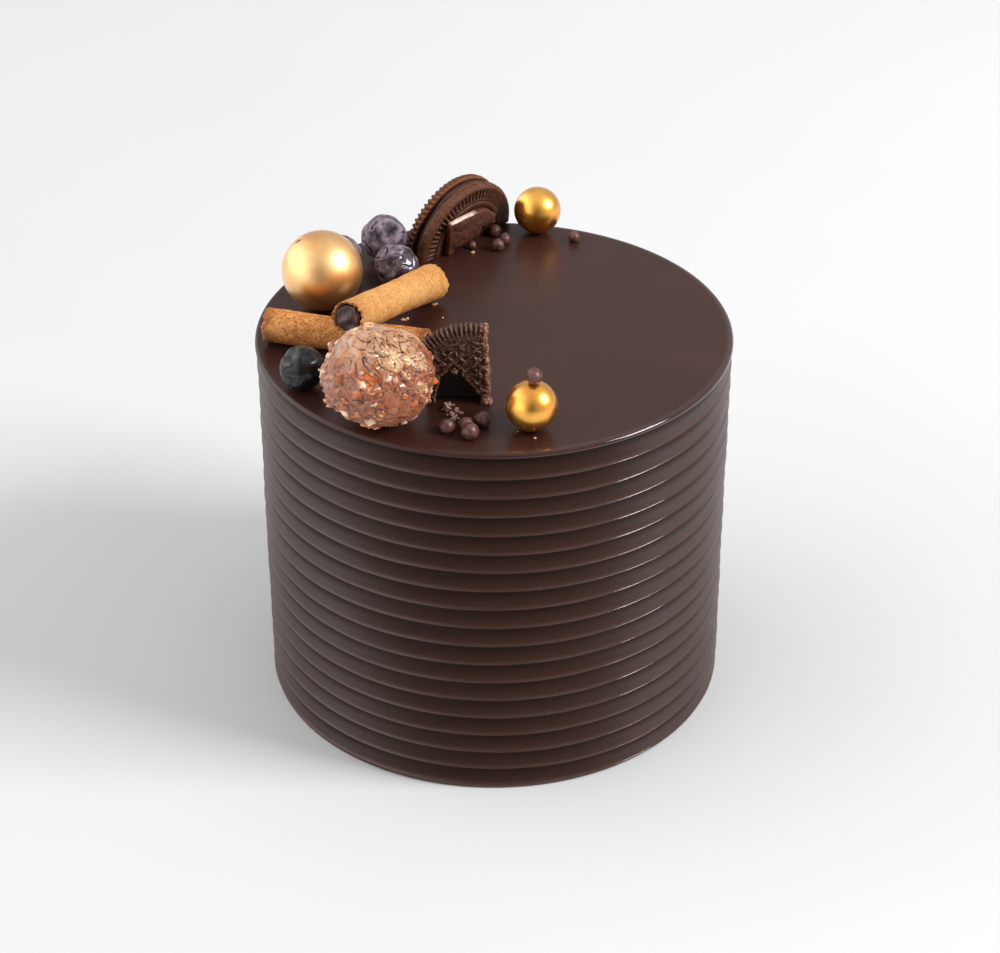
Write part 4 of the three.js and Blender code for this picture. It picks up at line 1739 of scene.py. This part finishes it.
@dataclass
class CookieMould:
    """Sizes that all the cocoa wafers share, and how one is pressed.

    Millimetres, with worn in degrees and bar_slant in radians.
    """

    radius: float = 21.4
    teeth: int = 88
    tooth: float = 0.55
    thick: float = 3.2
    bevel: float = 1.1
    raise_by: float = 0.4
    ring_outer: float = 16.5
    ring_inner: float = 15.3
    bar: float = 0.9
    bar_pitch: float = 2.6
    bar_slant: float = 0.75
    worn: Flat = (-2.0, -1.0)
    reach: float = 3.4
    groove: float = 0.6
    steps_a_tooth: int = 8
    plain_band: float = 0.0

    def press(self, name: str) -> bpy.types.Object:
        """Turn a wafer whose outer face is up, with its toothed rim.

        Args:
            name: The piece's name.

        Returns:
            The wafer, centred on the upright axis.
        """
        edge, top = self.radius, self.thick
        shoulder = top - self.bevel
        profile = [(0.0, 0.0), (0.6 * edge, 0.0), (edge - 0.5, 0.0), (edge - 0.12, 0.12), (edge, 0.5)]
        profile += [(edge, 1.1), (edge, 1.6), (edge, shoulder), (edge - 0.3, top - 0.6)]
        profile += [(edge - 0.7, top - 0.2), (edge - self.bevel, top), (edge - 1.8, top), (edge - 2.4, top)]
        profile += [(edge - inset, top) for inset in (3.0, 3.6, 4.2, 4.8, 5.4, 6.0)]
        profile += [(0.6 * edge, top), (0.0, top)]
        made = Bench.turned(name, profile, self.teeth * self.steps_a_tooth)
        Bench.sculpt(made, self.notch)
        return made

    def notch(self, places: np.ndarray) -> np.ndarray:
        """Cut the teeth of the rim.

        Args:
            places: Places on a plain wafer.

        Returns:
            Places on the toothed wafer.
        """
        radius = np.hypot(places[:, 0], places[:, 1])
        angle = np.arctan2(places[:, 1], places[:, 0])
        valley = ramp(0.5 - 0.5 * np.cos(self.teeth * angle), 0.25, 0.75)
        valley *= 0.12 + 0.88 * ramp(np.degrees(np.abs(angle)), *self.worn)
        rim = ramp(radius, self.radius - self.reach, self.radius - self.reach + 0.8)
        if self.plain_band:
            band = self.radius - self.plain_band
            rim *= 1 - ramp(radius, band - 0.3, band + 0.2)
        factor = 1 - valley * ramp(radius, self.radius - 1.4, self.radius - 0.6) * self.tooth / self.radius
        moved = widened(places, factor)
        face = places[:, 2] > 0.55 * self.thick
        moved[:, 2] -= np.where(face, valley * rim * self.groove, 0)
        return moved

    def relief(self, x: np.ndarray, y: np.ndarray, lattice: bool) -> np.ndarray:
        """Height of the pressed pattern on a wafer's face.

        Args:
            x: Across the face.
            y: Up the face.
            lattice: Whether the middle has crossed bars.

        Returns:
            The height at each place.
        """
        radius = np.hypot(x, y)
        half = 0.5 * (self.ring_outer - self.ring_inner)
        middle = 0.5 * (self.ring_outer + self.ring_inner)
        height = 1 - ramp(np.abs(radius - middle), half - 0.1, half + 0.3)
        if lattice:
            for slant in (-self.bar_slant, self.bar_slant):
                across = x * math.cos(slant) + y * math.sin(slant)
                off = np.abs((across + self.bar_pitch / 2) % self.bar_pitch - self.bar_pitch / 2)
                bars = (1 - ramp(off, self.bar / 2 - 0.2, self.bar / 2 + 0.25)) * (radius < self.ring_inner)
                height = np.maximum(height, bars)
        return self.raise_by * height


def rugged(outline: Sequence[Flat], cuts: int, jag: float, seed: int) -> list[Flat]:
    """Break up the straight sides of an outline.

    Args:
        outline: The outline's corners.
        cuts: Points added on each side.
        jag: How far they may move.
        seed: Which break.

    Returns:
        The broken outline.
    """
    random = np.random.default_rng(seed)
    points = []
    for (x0, y0), (x1, y1) in zip(outline, [*outline[1:], outline[0]]):
        points.append((x0, y0))
        for i in range(1, cuts + 1):
            share = i / (cuts + 1)
            dx, dy = random.uniform(-jag, jag, 2)
            points.append((x0 + (x1 - x0) * share + dx, y0 + (y1 - y0) * share + dy))
    return points


@dataclass
class HalfCookie:
    """Half a sandwich cookie on its broken edge, and the fragment against it. Millimetres and degrees."""

    mould: CookieMould
    x: float = -9.1
    y: float = 60.0
    azimuth: float = -43.0
    lean: float = -9.6
    gap: float = 0.3
    cream_thick: float = 2.4
    cream_radius: float = 19.4
    fragment_thick: float = 2.0
    net: float = 0.2
    cream_net: float = 0.4
    fragment_net: float = 0.17
    cream_columns: int = 160
    crust: tuple[Flat, ...] = ((1.3, 0.22), (0.5, 0.1))
    fragment: tuple[Flat, ...] = (
        (-11.9, -1.0),
        (-10.2, -1.0),
        (-9.0, 2.6),
        (-4.5, 3.5),
        (-1.2, 4.2),
        (1.6, 5.1),
        (2.2, 7.3),
        (6.2, 6.5),
        (10.2, 5.4),
        (9.1, 9.8),
        (5.2, 12.6),
        (1.6, 13.7),
        (-5.0, 13.7),
        (-12.8, 13.3),
    )

    def axes(self) -> np.ndarray:
        """Work out the cookie's own directions.

        Returns:
            The side, rise and front directions, one a column.
        """
        turn, lean = math.radians(self.azimuth), math.radians(self.lean)
        side = np.array([-math.sin(turn), math.cos(turn), 0.0])
        front = np.array([math.cos(turn) * math.cos(lean), math.sin(turn) * math.cos(lean), math.sin(lean)])
        return np.stack([side, np.cross(front, side), front], axis=1)

    def matrix(self) -> Matrix:
        """Work out where the cookie stands.

        Returns:
            From the cookie's own frame to the cake's, in metres.
        """
        made = Matrix(self.axes().tolist()).to_4x4()
        made.translation = Vector((self.x, self.y, TOP)) * MM
        return made

    def local(self, places: np.ndarray) -> np.ndarray:
        """Places in the cookie's own frame."""
        return (places - np.array([self.x, self.y, TOP])) @ self.axes()

    def stand(self, piece: bpy.types.Object, net: float) -> None:
        """Stand a layer up, cut it off level with the cake and give it an even skin.

        Args:
            piece: The layer in the cookie's own frame.
            net: Pitch of its skin.
        """
        Bench.place(piece, self.matrix())
        Bench.cut_below(piece, TOP + REST_GAP)
        Bench.remesh(piece, net)

    def shift(self, piece: bpy.types.Object, along: float) -> None:
        """Move a layer along the cookie's axis."""
        Bench.sculpt(piece, lambda places: places + np.array([0.0, 0.0, along]))

    def dress(
        self, piece: bpy.types.Object, node: str, finish: CookieFinish, cream: Optional[np.ndarray] = None
    ) -> None:
        """Mark ridges and breaks on a wafer and hand it over.

        Args:
            piece: The wafer.
            node: The node that it stands for.
            finish: The finish it wears.
            cream: Share of cream at each vertex, if it has any.
        """
        here = self.local(Bench.places(piece))
        rough = ramp(np.hypot(here[:, 0], here[:, 1]), self.mould.radius - 1.6, self.mould.radius - 0.4)
        cream = np.zeros(len(here)) if cream is None else cream
        Bench.paint(piece, bulge=Bench.bulge(piece, 1), broken=0.4 * rough, cream=cream)
        hand_over(piece, finish, [node])

    def build(self) -> None:
        """Make the two wafers, the cream between them and the fragment."""
        thick = self.mould.thick
        front_mould = replace(self.mould, worn=(48.0, 82.0), tooth=0.06, reach=5.6, plain_band=2.1)
        front = front_mould.press("cookie_half_front")
        self.shift(front, -thick)
        self.stand(front, self.net)
        self.emboss(front)
        Bench.roughen(front, *self.crust)
        self.dress(front, "cookie_half_wafer_front", CookieFinish("cocoa_front"))
        cream_low = -thick - self.gap - self.cream_thick
        back = replace(self.mould, worn=(92.0, 128.0)).press("cookie_half_back")
        Bench.place(back, Matrix.Rotation(math.pi, 4, "X"))
        self.shift(back, cream_low - self.gap)
        self.stand(back, self.net)
        Bench.roughen(back, *self.crust)
        self.dress(back, "cookie_half_wafer_back", CookieFinish("cocoa_back"))
        self.build_cream(cream_low)
        self.build_fragment()

    def emboss(self, wafer: bpy.types.Object) -> None:
        """Raise the ring on the face that shows.

        Args:
            wafer: The wafer, stood up.
        """
        front = self.axes()[:, 2]

        def press(places: np.ndarray) -> np.ndarray:
            """Lift the face by its pattern."""
            here = self.local(places)
            face = ramp(here[:, 2], -0.45, -0.1)
            return places + np.outer(face * self.mould.relief(here[:, 0], here[:, 1], False), front)

        Bench.sculpt(wafer, press)

    def build_cream(self, low: float) -> None:
        """Make the cream layer.

        Args:
            low: Where it starts on the cookie's axis.
        """
        edge, thick = self.cream_radius, self.cream_thick
        profile = [(0.0, 0.0), (0.5 * edge, 0.0), (edge - 0.5, 0.0), (edge - 0.1, 0.5), (edge, 0.5 * thick)]
        profile += [(edge - 0.1, thick - 0.5), (edge - 0.5, thick), (0.5 * edge, thick), (0.0, thick)]
        cream = Bench.turned("cookie_half_filling", profile, self.cream_columns)

        def spread(places: np.ndarray) -> np.ndarray:
            """Press the cream out to the rim but for the left end."""
            angle = np.degrees(np.abs(np.arctan2(places[:, 1], places[:, 0])))
            return widened(places, 1 + 0.06 * (1 - ramp(angle, 108, 140)))

        Bench.sculpt(cream, spread)
        self.shift(cream, low)
        self.stand(cream, self.cream_net)
        Bench.roughen(cream, (1.8, 0.3))
        finish = CreamFinish("cookie_cream", dark=tint(46, 20, 14), light=tint(74, 38, 28))
        hand_over(cream, finish, ["cookie_half_cream"])

    def build_fragment(self) -> None:
        """Make the broken fragment with cream along its upper edge."""
        low = self.mould.raise_by + self.gap
        outline = rugged(self.fragment, 2, 0.22, 3)
        piece = Bench.slab("cookie_fragment_crust", outline, low, low + self.fragment_thick)
        self.stand(piece, self.fragment_net)
        Bench.modify(piece, "SMOOTH", {"factor": 0.5, "iterations": 110})
        front = self.axes()[:, 2]

        def swell(places: np.ndarray) -> np.ndarray:
            """Round the face out and leave it lumpy."""
            here = self.local(places)
            dome = np.clip(1 - (here[:, 0] / 12) ** 2 - ((here[:, 1] - 7) / 7.5) ** 2, 0, 1)
            face = ramp(here[:, 2], low + 0.5, low + self.fragment_thick)
            return places + np.outer(face * (1.3 * dome + 0.5 * unevenness(places, 3.0, 51, 2)), front)

        Bench.sculpt(piece, swell)
        Bench.roughen(piece, (1.4, 0.3), (0.5, 0.06))
        here = self.local(Bench.places(piece))
        up = Bench.normals(piece) @ self.axes()[:, 1]
        strip = ramp(here[:, 0], -12.6, -11.0) * (1 - ramp(here[:, 0], -3.5, 0.5))
        top = strip * ramp(up, 0.62, 0.85) * ramp(here[:, 1], 10.5, 12.0)
        pit, crust, crumb = tint(48, 23, 14), tint(82, 43, 28), tint(110, 62, 42)
        finish = CookieFinish("cocoa_fragment", pit, crust, crumb)
        self.dress(piece, "cookie_fragment", finish, top)


@dataclass
class CookieShard:
    """A broken wafer that stands behind the praline, face to the front. Millimetres."""

    mould: CookieMould
    x: float = -6.9
    front_y: float = -46.4
    rise: float = 5.1
    left: float = -15.0
    slant: float = 1.7
    right: float = 4.4
    tip: float = 5.9
    cream_inset: float = 1.4
    cream_thick: float = 2.4
    cream_radius: float = 19.4
    cream_steps: int = 24
    gap: float = 0.3
    net: float = 0.17
    cream_net: float = 0.3
    arch: tuple[Flat, ...] = (
        (4.4, 0.0),
        (2.6, 3.2),
        (-0.2, 6.6),
        (-3.2, 10.4),
        (-6.8, 11.4),
        (-9.4, 9.0),
        (-10.5, 4.0),
        (-11.0, 0.0),
    )

    def matrix(self) -> Matrix:
        """Work out where the wafer stands.

        Returns:
            From the wafer's own frame to the cake's, in metres.
        """
        made = Matrix(((1, 0, 0, 0), (0, 0, -1, 0), (0, 1, 0, 0), (0, 0, 0, 1)))
        made.translation = Vector((self.x, self.front_y + self.mould.thick, TOP)) * MM
        return made

    def breaks(self) -> list[Flat]:
        """Draw the broken sides.

        Returns:
            Points from the right end of the rim down, through the arch and up to the rim's left end.
        """
        radius = self.mould.radius
        right_top = self.rise + math.sqrt(radius**2 - self.right**2)
        left_top = self.rise + math.sqrt(radius**2 - self.left**2)
        sides = [(self.right, right_top), (self.tip, REST_GAP)]
        sides += [(x, y + REST_GAP) for x, y in self.arch]
        inner = self.left + self.slant
        return [*sides, (inner, REST_GAP), (inner, 12.0), (self.left, left_top)]

    def build(self) -> None:
        """Press a wafer, break it, roughen the break and stand it up."""
        wafer = self.mould.press("cookie_shard_crust")
        Bench.sculpt(wafer, lambda places: places + np.array([0.0, self.rise, 0.0]))
        sides = self.breaks()
        beyond = [(self.left - 3, 40.0), (self.right + 2, 40.0)]
        cutter = Bench.slab("break", rugged([*sides, *beyond], 3, 0.2, 5), -2.0, 8.0)
        Bench.modify(wafer, "BOOLEAN", {"operation": "INTERSECT", "solver": "EXACT", "object": cutter})
        bpy.data.objects.remove(cutter)
        Bench.remesh(wafer, self.net)
        self.emboss(wafer)
        Bench.place(wafer, self.matrix())
        self.crumble(wafer)
        Bench.roughen(wafer, (1.5, 0.36), (0.55, 0.22))
        self.dress(wafer)
        self.build_cream()

    def from_break(self, wafer: bpy.types.Object) -> np.ndarray:
        """Measure from the broken sides.

        Args:
            wafer: The wafer, stood up.

        Returns:
            How far each vertex is from the nearest broken side, up to 9.
        """
        places = Bench.places(wafer)
        x, y = places[:, 0] - self.x, places[:, 2] - TOP
        away = np.full(len(x), 9.0)
        sides = self.breaks()
        for (x0, y0), (x1, y1) in zip(sides, sides[1:]):
            long = (x1 - x0) ** 2 + (y1 - y0) ** 2
            share = np.clip(((x - x0) * (x1 - x0) + (y - y0) * (y1 - y0)) / long, 0, 1)
            away = np.minimum(away, np.hypot(x - x0 - share * (x1 - x0), y - y0 - share * (y1 - y0)))
        return away

    def crumble(self, wafer: bpy.types.Object) -> None:
        """Leave lumps and pits along the break.

        Args:
            wafer: The wafer, stood up.
        """
        near = 1 - ramp(self.from_break(wafer), 0.4, 2.6)
        normals = Bench.normals(wafer)
        right = ramp(Bench.places(wafer)[:, 0] - self.x, 1.0, 4.0)
        swing = (0.6 + 0.5 * right) * near
        Bench.sculpt(
            wafer, lambda places: places + normals * (swing * unevenness(places, 1.6, 41, 3))[:, None]
        )

    def build_cream(self) -> None:
        """Make the cream that is left on the wafer's back and closes the break below, darkened as painted
        shade.
        """
        left = self.left + self.slant + self.cream_inset
        right = self.right - self.cream_inset
        first, last = (math.acos(side / self.cream_radius) for side in (right, left))
        outline = [(left, REST_GAP), (right, REST_GAP)]
        for i in range(self.cream_steps + 1):
            turn = first + (last - first) * i / self.cream_steps
            rim = self.cream_radius * math.sin(turn) + self.rise
            outline.append((self.cream_radius * math.cos(turn), rim))
        cream = Bench.slab("cookie_shard_filling", outline, -self.gap - self.cream_thick, -self.gap)
        Bench.place(cream, self.matrix())
        Bench.remesh(cream, self.cream_net)
        Bench.roughen(cream, (1.8, 0.3))
        # Painted shade: this cream is a darker copy of the cookie cream, standing for the shade behind the
        # break.
        finish = CreamFinish("shard_cream", dark=tint(22, 11, 7), light=tint(34, 19, 13))
        hand_over(cream, finish, ["cookie_shard_cream"])

    def emboss(self, wafer: bpy.types.Object) -> None:
        """Raise the ring and the crossed bars on the face, worn in places.

        Args:
            wafer: The wafer, face up.
        """

        def press(places: np.ndarray) -> np.ndarray:
            """Lift the face by its pattern."""
            face = ramp(places[:, 2], self.mould.thick - 0.4, self.mould.thick - 0.1)
            across = places[:, 0] + 0.9 * unevenness(places, 2.6, 31, 2)
            along = places[:, 1] - self.rise + 0.9 * unevenness(places, 2.6, 33, 2)
            worn = 0.3 + 1.1 * ramp(unevenness(places, 2.2, 35, 2), -0.35, 0.35)
            inside = 1 - ramp(np.hypot(places[:, 0], places[:, 1] - self.rise), 17.0, 18.0)
            lumps = 0.45 * inside * unevenness(places, 1.15, 37, 3)
            height = self.mould.relief(across, along, True) * worn + lumps
            return places + np.outer(face * height, [0, 0, 1])

        Bench.sculpt(wafer, press)

    def dress(self, wafer: bpy.types.Object) -> None:
        """Mark ridges and the fresh break, and hand the wafer over.

        Args:
            wafer: The wafer, stood up.
        """
        right = ramp(Bench.places(wafer)[:, 0] - self.x, -1.0, 3.0)
        broken = 1 - ramp(self.from_break(wafer) / (0.8 + 0.6 * right), 0.3, 1.0)
        Bench.paint(wafer, bulge=Bench.bulge(wafer, 1), broken=broken)
        pit, crust, crumb = tint(12, 5, 3), tint(76, 41, 30), tint(146, 96, 75)
        finish = CookieFinish("cocoa_shard", pit, crust, crumb, glint=1.0)
        hand_over(wafer, finish, ["cookie_shard"])


@dataclass
class Studio:
    """Floor, soft light and the camera. Millimetres and watts."""

    eye: Point = (0.0, -707.6, 517.7)
    aim: Point = (1.8, 0.0, 69.84)
    focal_pixels: float = 2555.1
    frame_pixels: int = 1000
    sensor: float = 36.0
    floor_side: float = 9000.0
    dim: float = 0.05
    bright: float = 0.56
    left: float = 1.72
    overhead: float = 0.3
    lamp_place: Point = (1984.0, -512.0, 1600.0)
    lamp_aim: Point = (0.0, 0.0, 110.0)
    lamp_side: float = 960.0
    lamp_watts: float = 66.0

    def build(self) -> None:
        """Set up the floor, the room, the light and the camera."""
        Bench.clear()
        bpy.ops.mesh.primitive_grid_add(x_subdivisions=8, y_subdivisions=8, size=self.floor_side * MM)
        floor = Bench.settle("floor")
        floor.data.materials.append(FloorFinish().make())
        self.paint_room()
        bpy.context.scene.view_settings.view_transform = "Standard"
        bpy.context.scene.view_settings.look = "None"
        self.hang_light()
        self.stand_camera()

    def paint_room(self) -> None:
        """Make the room pale all round but for the dim side in front of the cake."""
        world = bpy.data.worlds.new("soft_room")
        bpy.context.scene.world = world
        board = Board(world)
        facing = board.node("ShaderNodeTexCoord", output="Generated")
        across, back, high = (board.node("ShaderNodeSeparateXYZ", {}, {0: facing}, axis) for axis in "XYZ")
        aside = board.node("ShaderNodeMath", {"operation": "ABSOLUTE"}, {0: across})
        behind = board.node("ShaderNodeMath", {"operation": "MAXIMUM"}, {0: back, 1: 0.0})
        above = board.node("ShaderNodeMath", {"operation": "MAXIMUM"}, {0: high, 1: 0.0})
        share = board.between(1.6 * aside + 3.0 * behind + 0.8 * above, 0.3, 1.1)
        strength = self.dim + (self.bright - self.dim) * share
        strength = strength + self.left * board.between(across, -0.36, -0.8)
        strength = strength + self.overhead * board.between(high, 0.55, 0.95)
        sky = board.node("ShaderNodeBackground", {}, {"Color": (1.0, 1.0, 1.0, 1.0), "Strength": strength})
        board.node("ShaderNodeOutputWorld", {}, {"Surface": sky})

    def hang_light(self) -> None:
        """Hang a square soft light that faces the cake."""
        Bench.clear()
        where = Vector(self.lamp_place) * MM
        bpy.ops.object.light_add(type="AREA", location=where)
        lamp = bpy.context.view_layer.objects.active
        lamp.name = "window_light"
        lamp.data.shape = "SQUARE"
        lamp.data.size = self.lamp_side * MM
        lamp.data.energy = self.lamp_watts
        lamp.rotation_euler = (Vector(self.lamp_aim) * MM - where).to_track_quat("-Z", "Y").to_euler()

    def stand_camera(self) -> None:
        """Stand the camera where the photograph was taken from."""
        Bench.clear()
        where = Vector(self.eye) * MM
        bpy.ops.object.camera_add(location=where)
        camera = bpy.context.view_layer.objects.active
        camera.name = "camera"
        camera.rotation_euler = (Vector(self.aim) * MM - where).to_track_quat("-Z", "Y").to_euler()
        camera.data.sensor_fit = "HORIZONTAL"
        camera.data.sensor_width = self.sensor
        camera.data.lens = self.focal_pixels / self.frame_pixels * self.sensor
        bpy.context.scene.camera = camera


def build_balls() -> None:
    """Make the gold balls, and the pearl on the front one."""
    champagne = GoldFinish(
        "champagne_gold", bright=tint(250, 202, 136), deep=tint(238, 176, 104), gloss=0.37
    )
    rich = GoldFinish("rich_gold", bright=tint(252, 188, 72), deep=tint(232, 148, 40), gloss=0.26)
    nick = (-0.55, 0.03, 0.83)
    GoldBall("gold_ball_large", x=-54.8, y=15.3, radius=12.9, finish=champagne, nick_facing=nick).build()
    GoldBall("gold_ball_back", x=14.6, y=68.2, radius=7.9, finish=rich).build()
    GoldBall("gold_ball_front", x=11.0, y=-60.4, radius=7.8, finish=rich).build()
    CrownPearl().build()


def build_berries() -> None:
    """Make the dark berry and the three frosted ones."""
    dark = BerryFinish(
        "dark_berry", skin=tint(6, 5, 6), bloom=tint(88, 88, 93), cover=-0.15, wet=0.6, polish=0.36
    )
    frosted = BerryFinish(
        "frosted_berry", skin=tint(33, 22, 33), bloom=tint(148, 130, 143), cover=0.08, wet=1.0
    )
    Berry(
        "blueberry_front",
        x=-58.1,
        y=-36.0,
        radius=7.0,
        crown=(-0.5, -0.2, 0.85),
        seed=40,
        finish=dark,
        wrinkle=0.35,
        shrink=0.3,
    ).build()
    Berry(
        "blueberry_back_upper",
        x=-36.4,
        y=48.6,
        radius=7.8,
        crown=(0.35, -0.6, 0.7),
        seed=41,
        finish=frosted,
        wrinkle=0.4,
        shrink=0.95,
    ).build()
    Berry(
        "blueberry_back_lower",
        x=-31.8,
        y=29.8,
        radius=7.3,
        crown=(-0.35, -0.8, 0.45),
        seed=42,
        finish=frosted,
        wrinkle=0.4,
        shrink=1.0,
        wet_facing=(0.55, -0.7, 0.45),
    ).build()
    Berry(
        "blueberry_behind_ball",
        x=-50.0,
        y=36.0,
        radius=7.2,
        crown=(-0.6, 0.3, 0.75),
        seed=43,
        finish=frosted,
        wrinkle=0.35,
        shrink=0.8,
    ).build()


def build_rolls() -> None:
    """Make the two rolled wafers, the lower one first."""
    toasted = WaferFinish(
        "toasted_wafer",
        golden=tint(212, 148, 82),
        brown=tint(172, 100, 46),
        toast_and_shade=tint(122, 62, 28),
        pale=tint(226, 180, 122),
        speckle=0.9,
    )
    golden = WaferFinish(
        "golden_wafer",
        golden=tint(214, 160, 95),
        brown=tint(196, 132, 66),
        toast_and_shade=tint(140, 78, 34),
        pale=tint(224, 184, 128),
        speckle=0.6,
    )
    WaferRoll(
        "wafer_roll_lower",
        start=(-71.4, -6.6, 130.63),
        finish=(-20.2, -20.9, 130.63),
        near=5.4,
        far=5.3,
        roll=0.37,
        coat=toasted,
        seed=60,
    ).build()
    WaferRoll(
        "wafer_roll_upper",
        start=(-44.6, -32.3, 146.5),
        finish=(-19.9, 20.4, 131.15),
        near=5.3,
        far=5.8,
        roll=0.49,
        coat=golden,
        seed=70,
        end_toast=(0.4, 0.15),
        scallop=0.3,
    ).build()


def main() -> None:
    """Build the studio and every piece of the cake, and log each piece's face count."""
    logging.basicConfig(level=logging.INFO, format="%(message)s")
    Studio().build()
    CakeBody().build()
    ChocolatePearls().build()
    CookieChips().build()
    Crumbs().build()
    build_balls()
    build_berries()
    Praline().build()
    build_rolls()
    mould = CookieMould()
    HalfCookie(replace(mould, teeth=66, ring_outer=15.2, ring_inner=14.0)).build()
    CookieShard(mould).build()


if __name__ == "__main__":
    main()
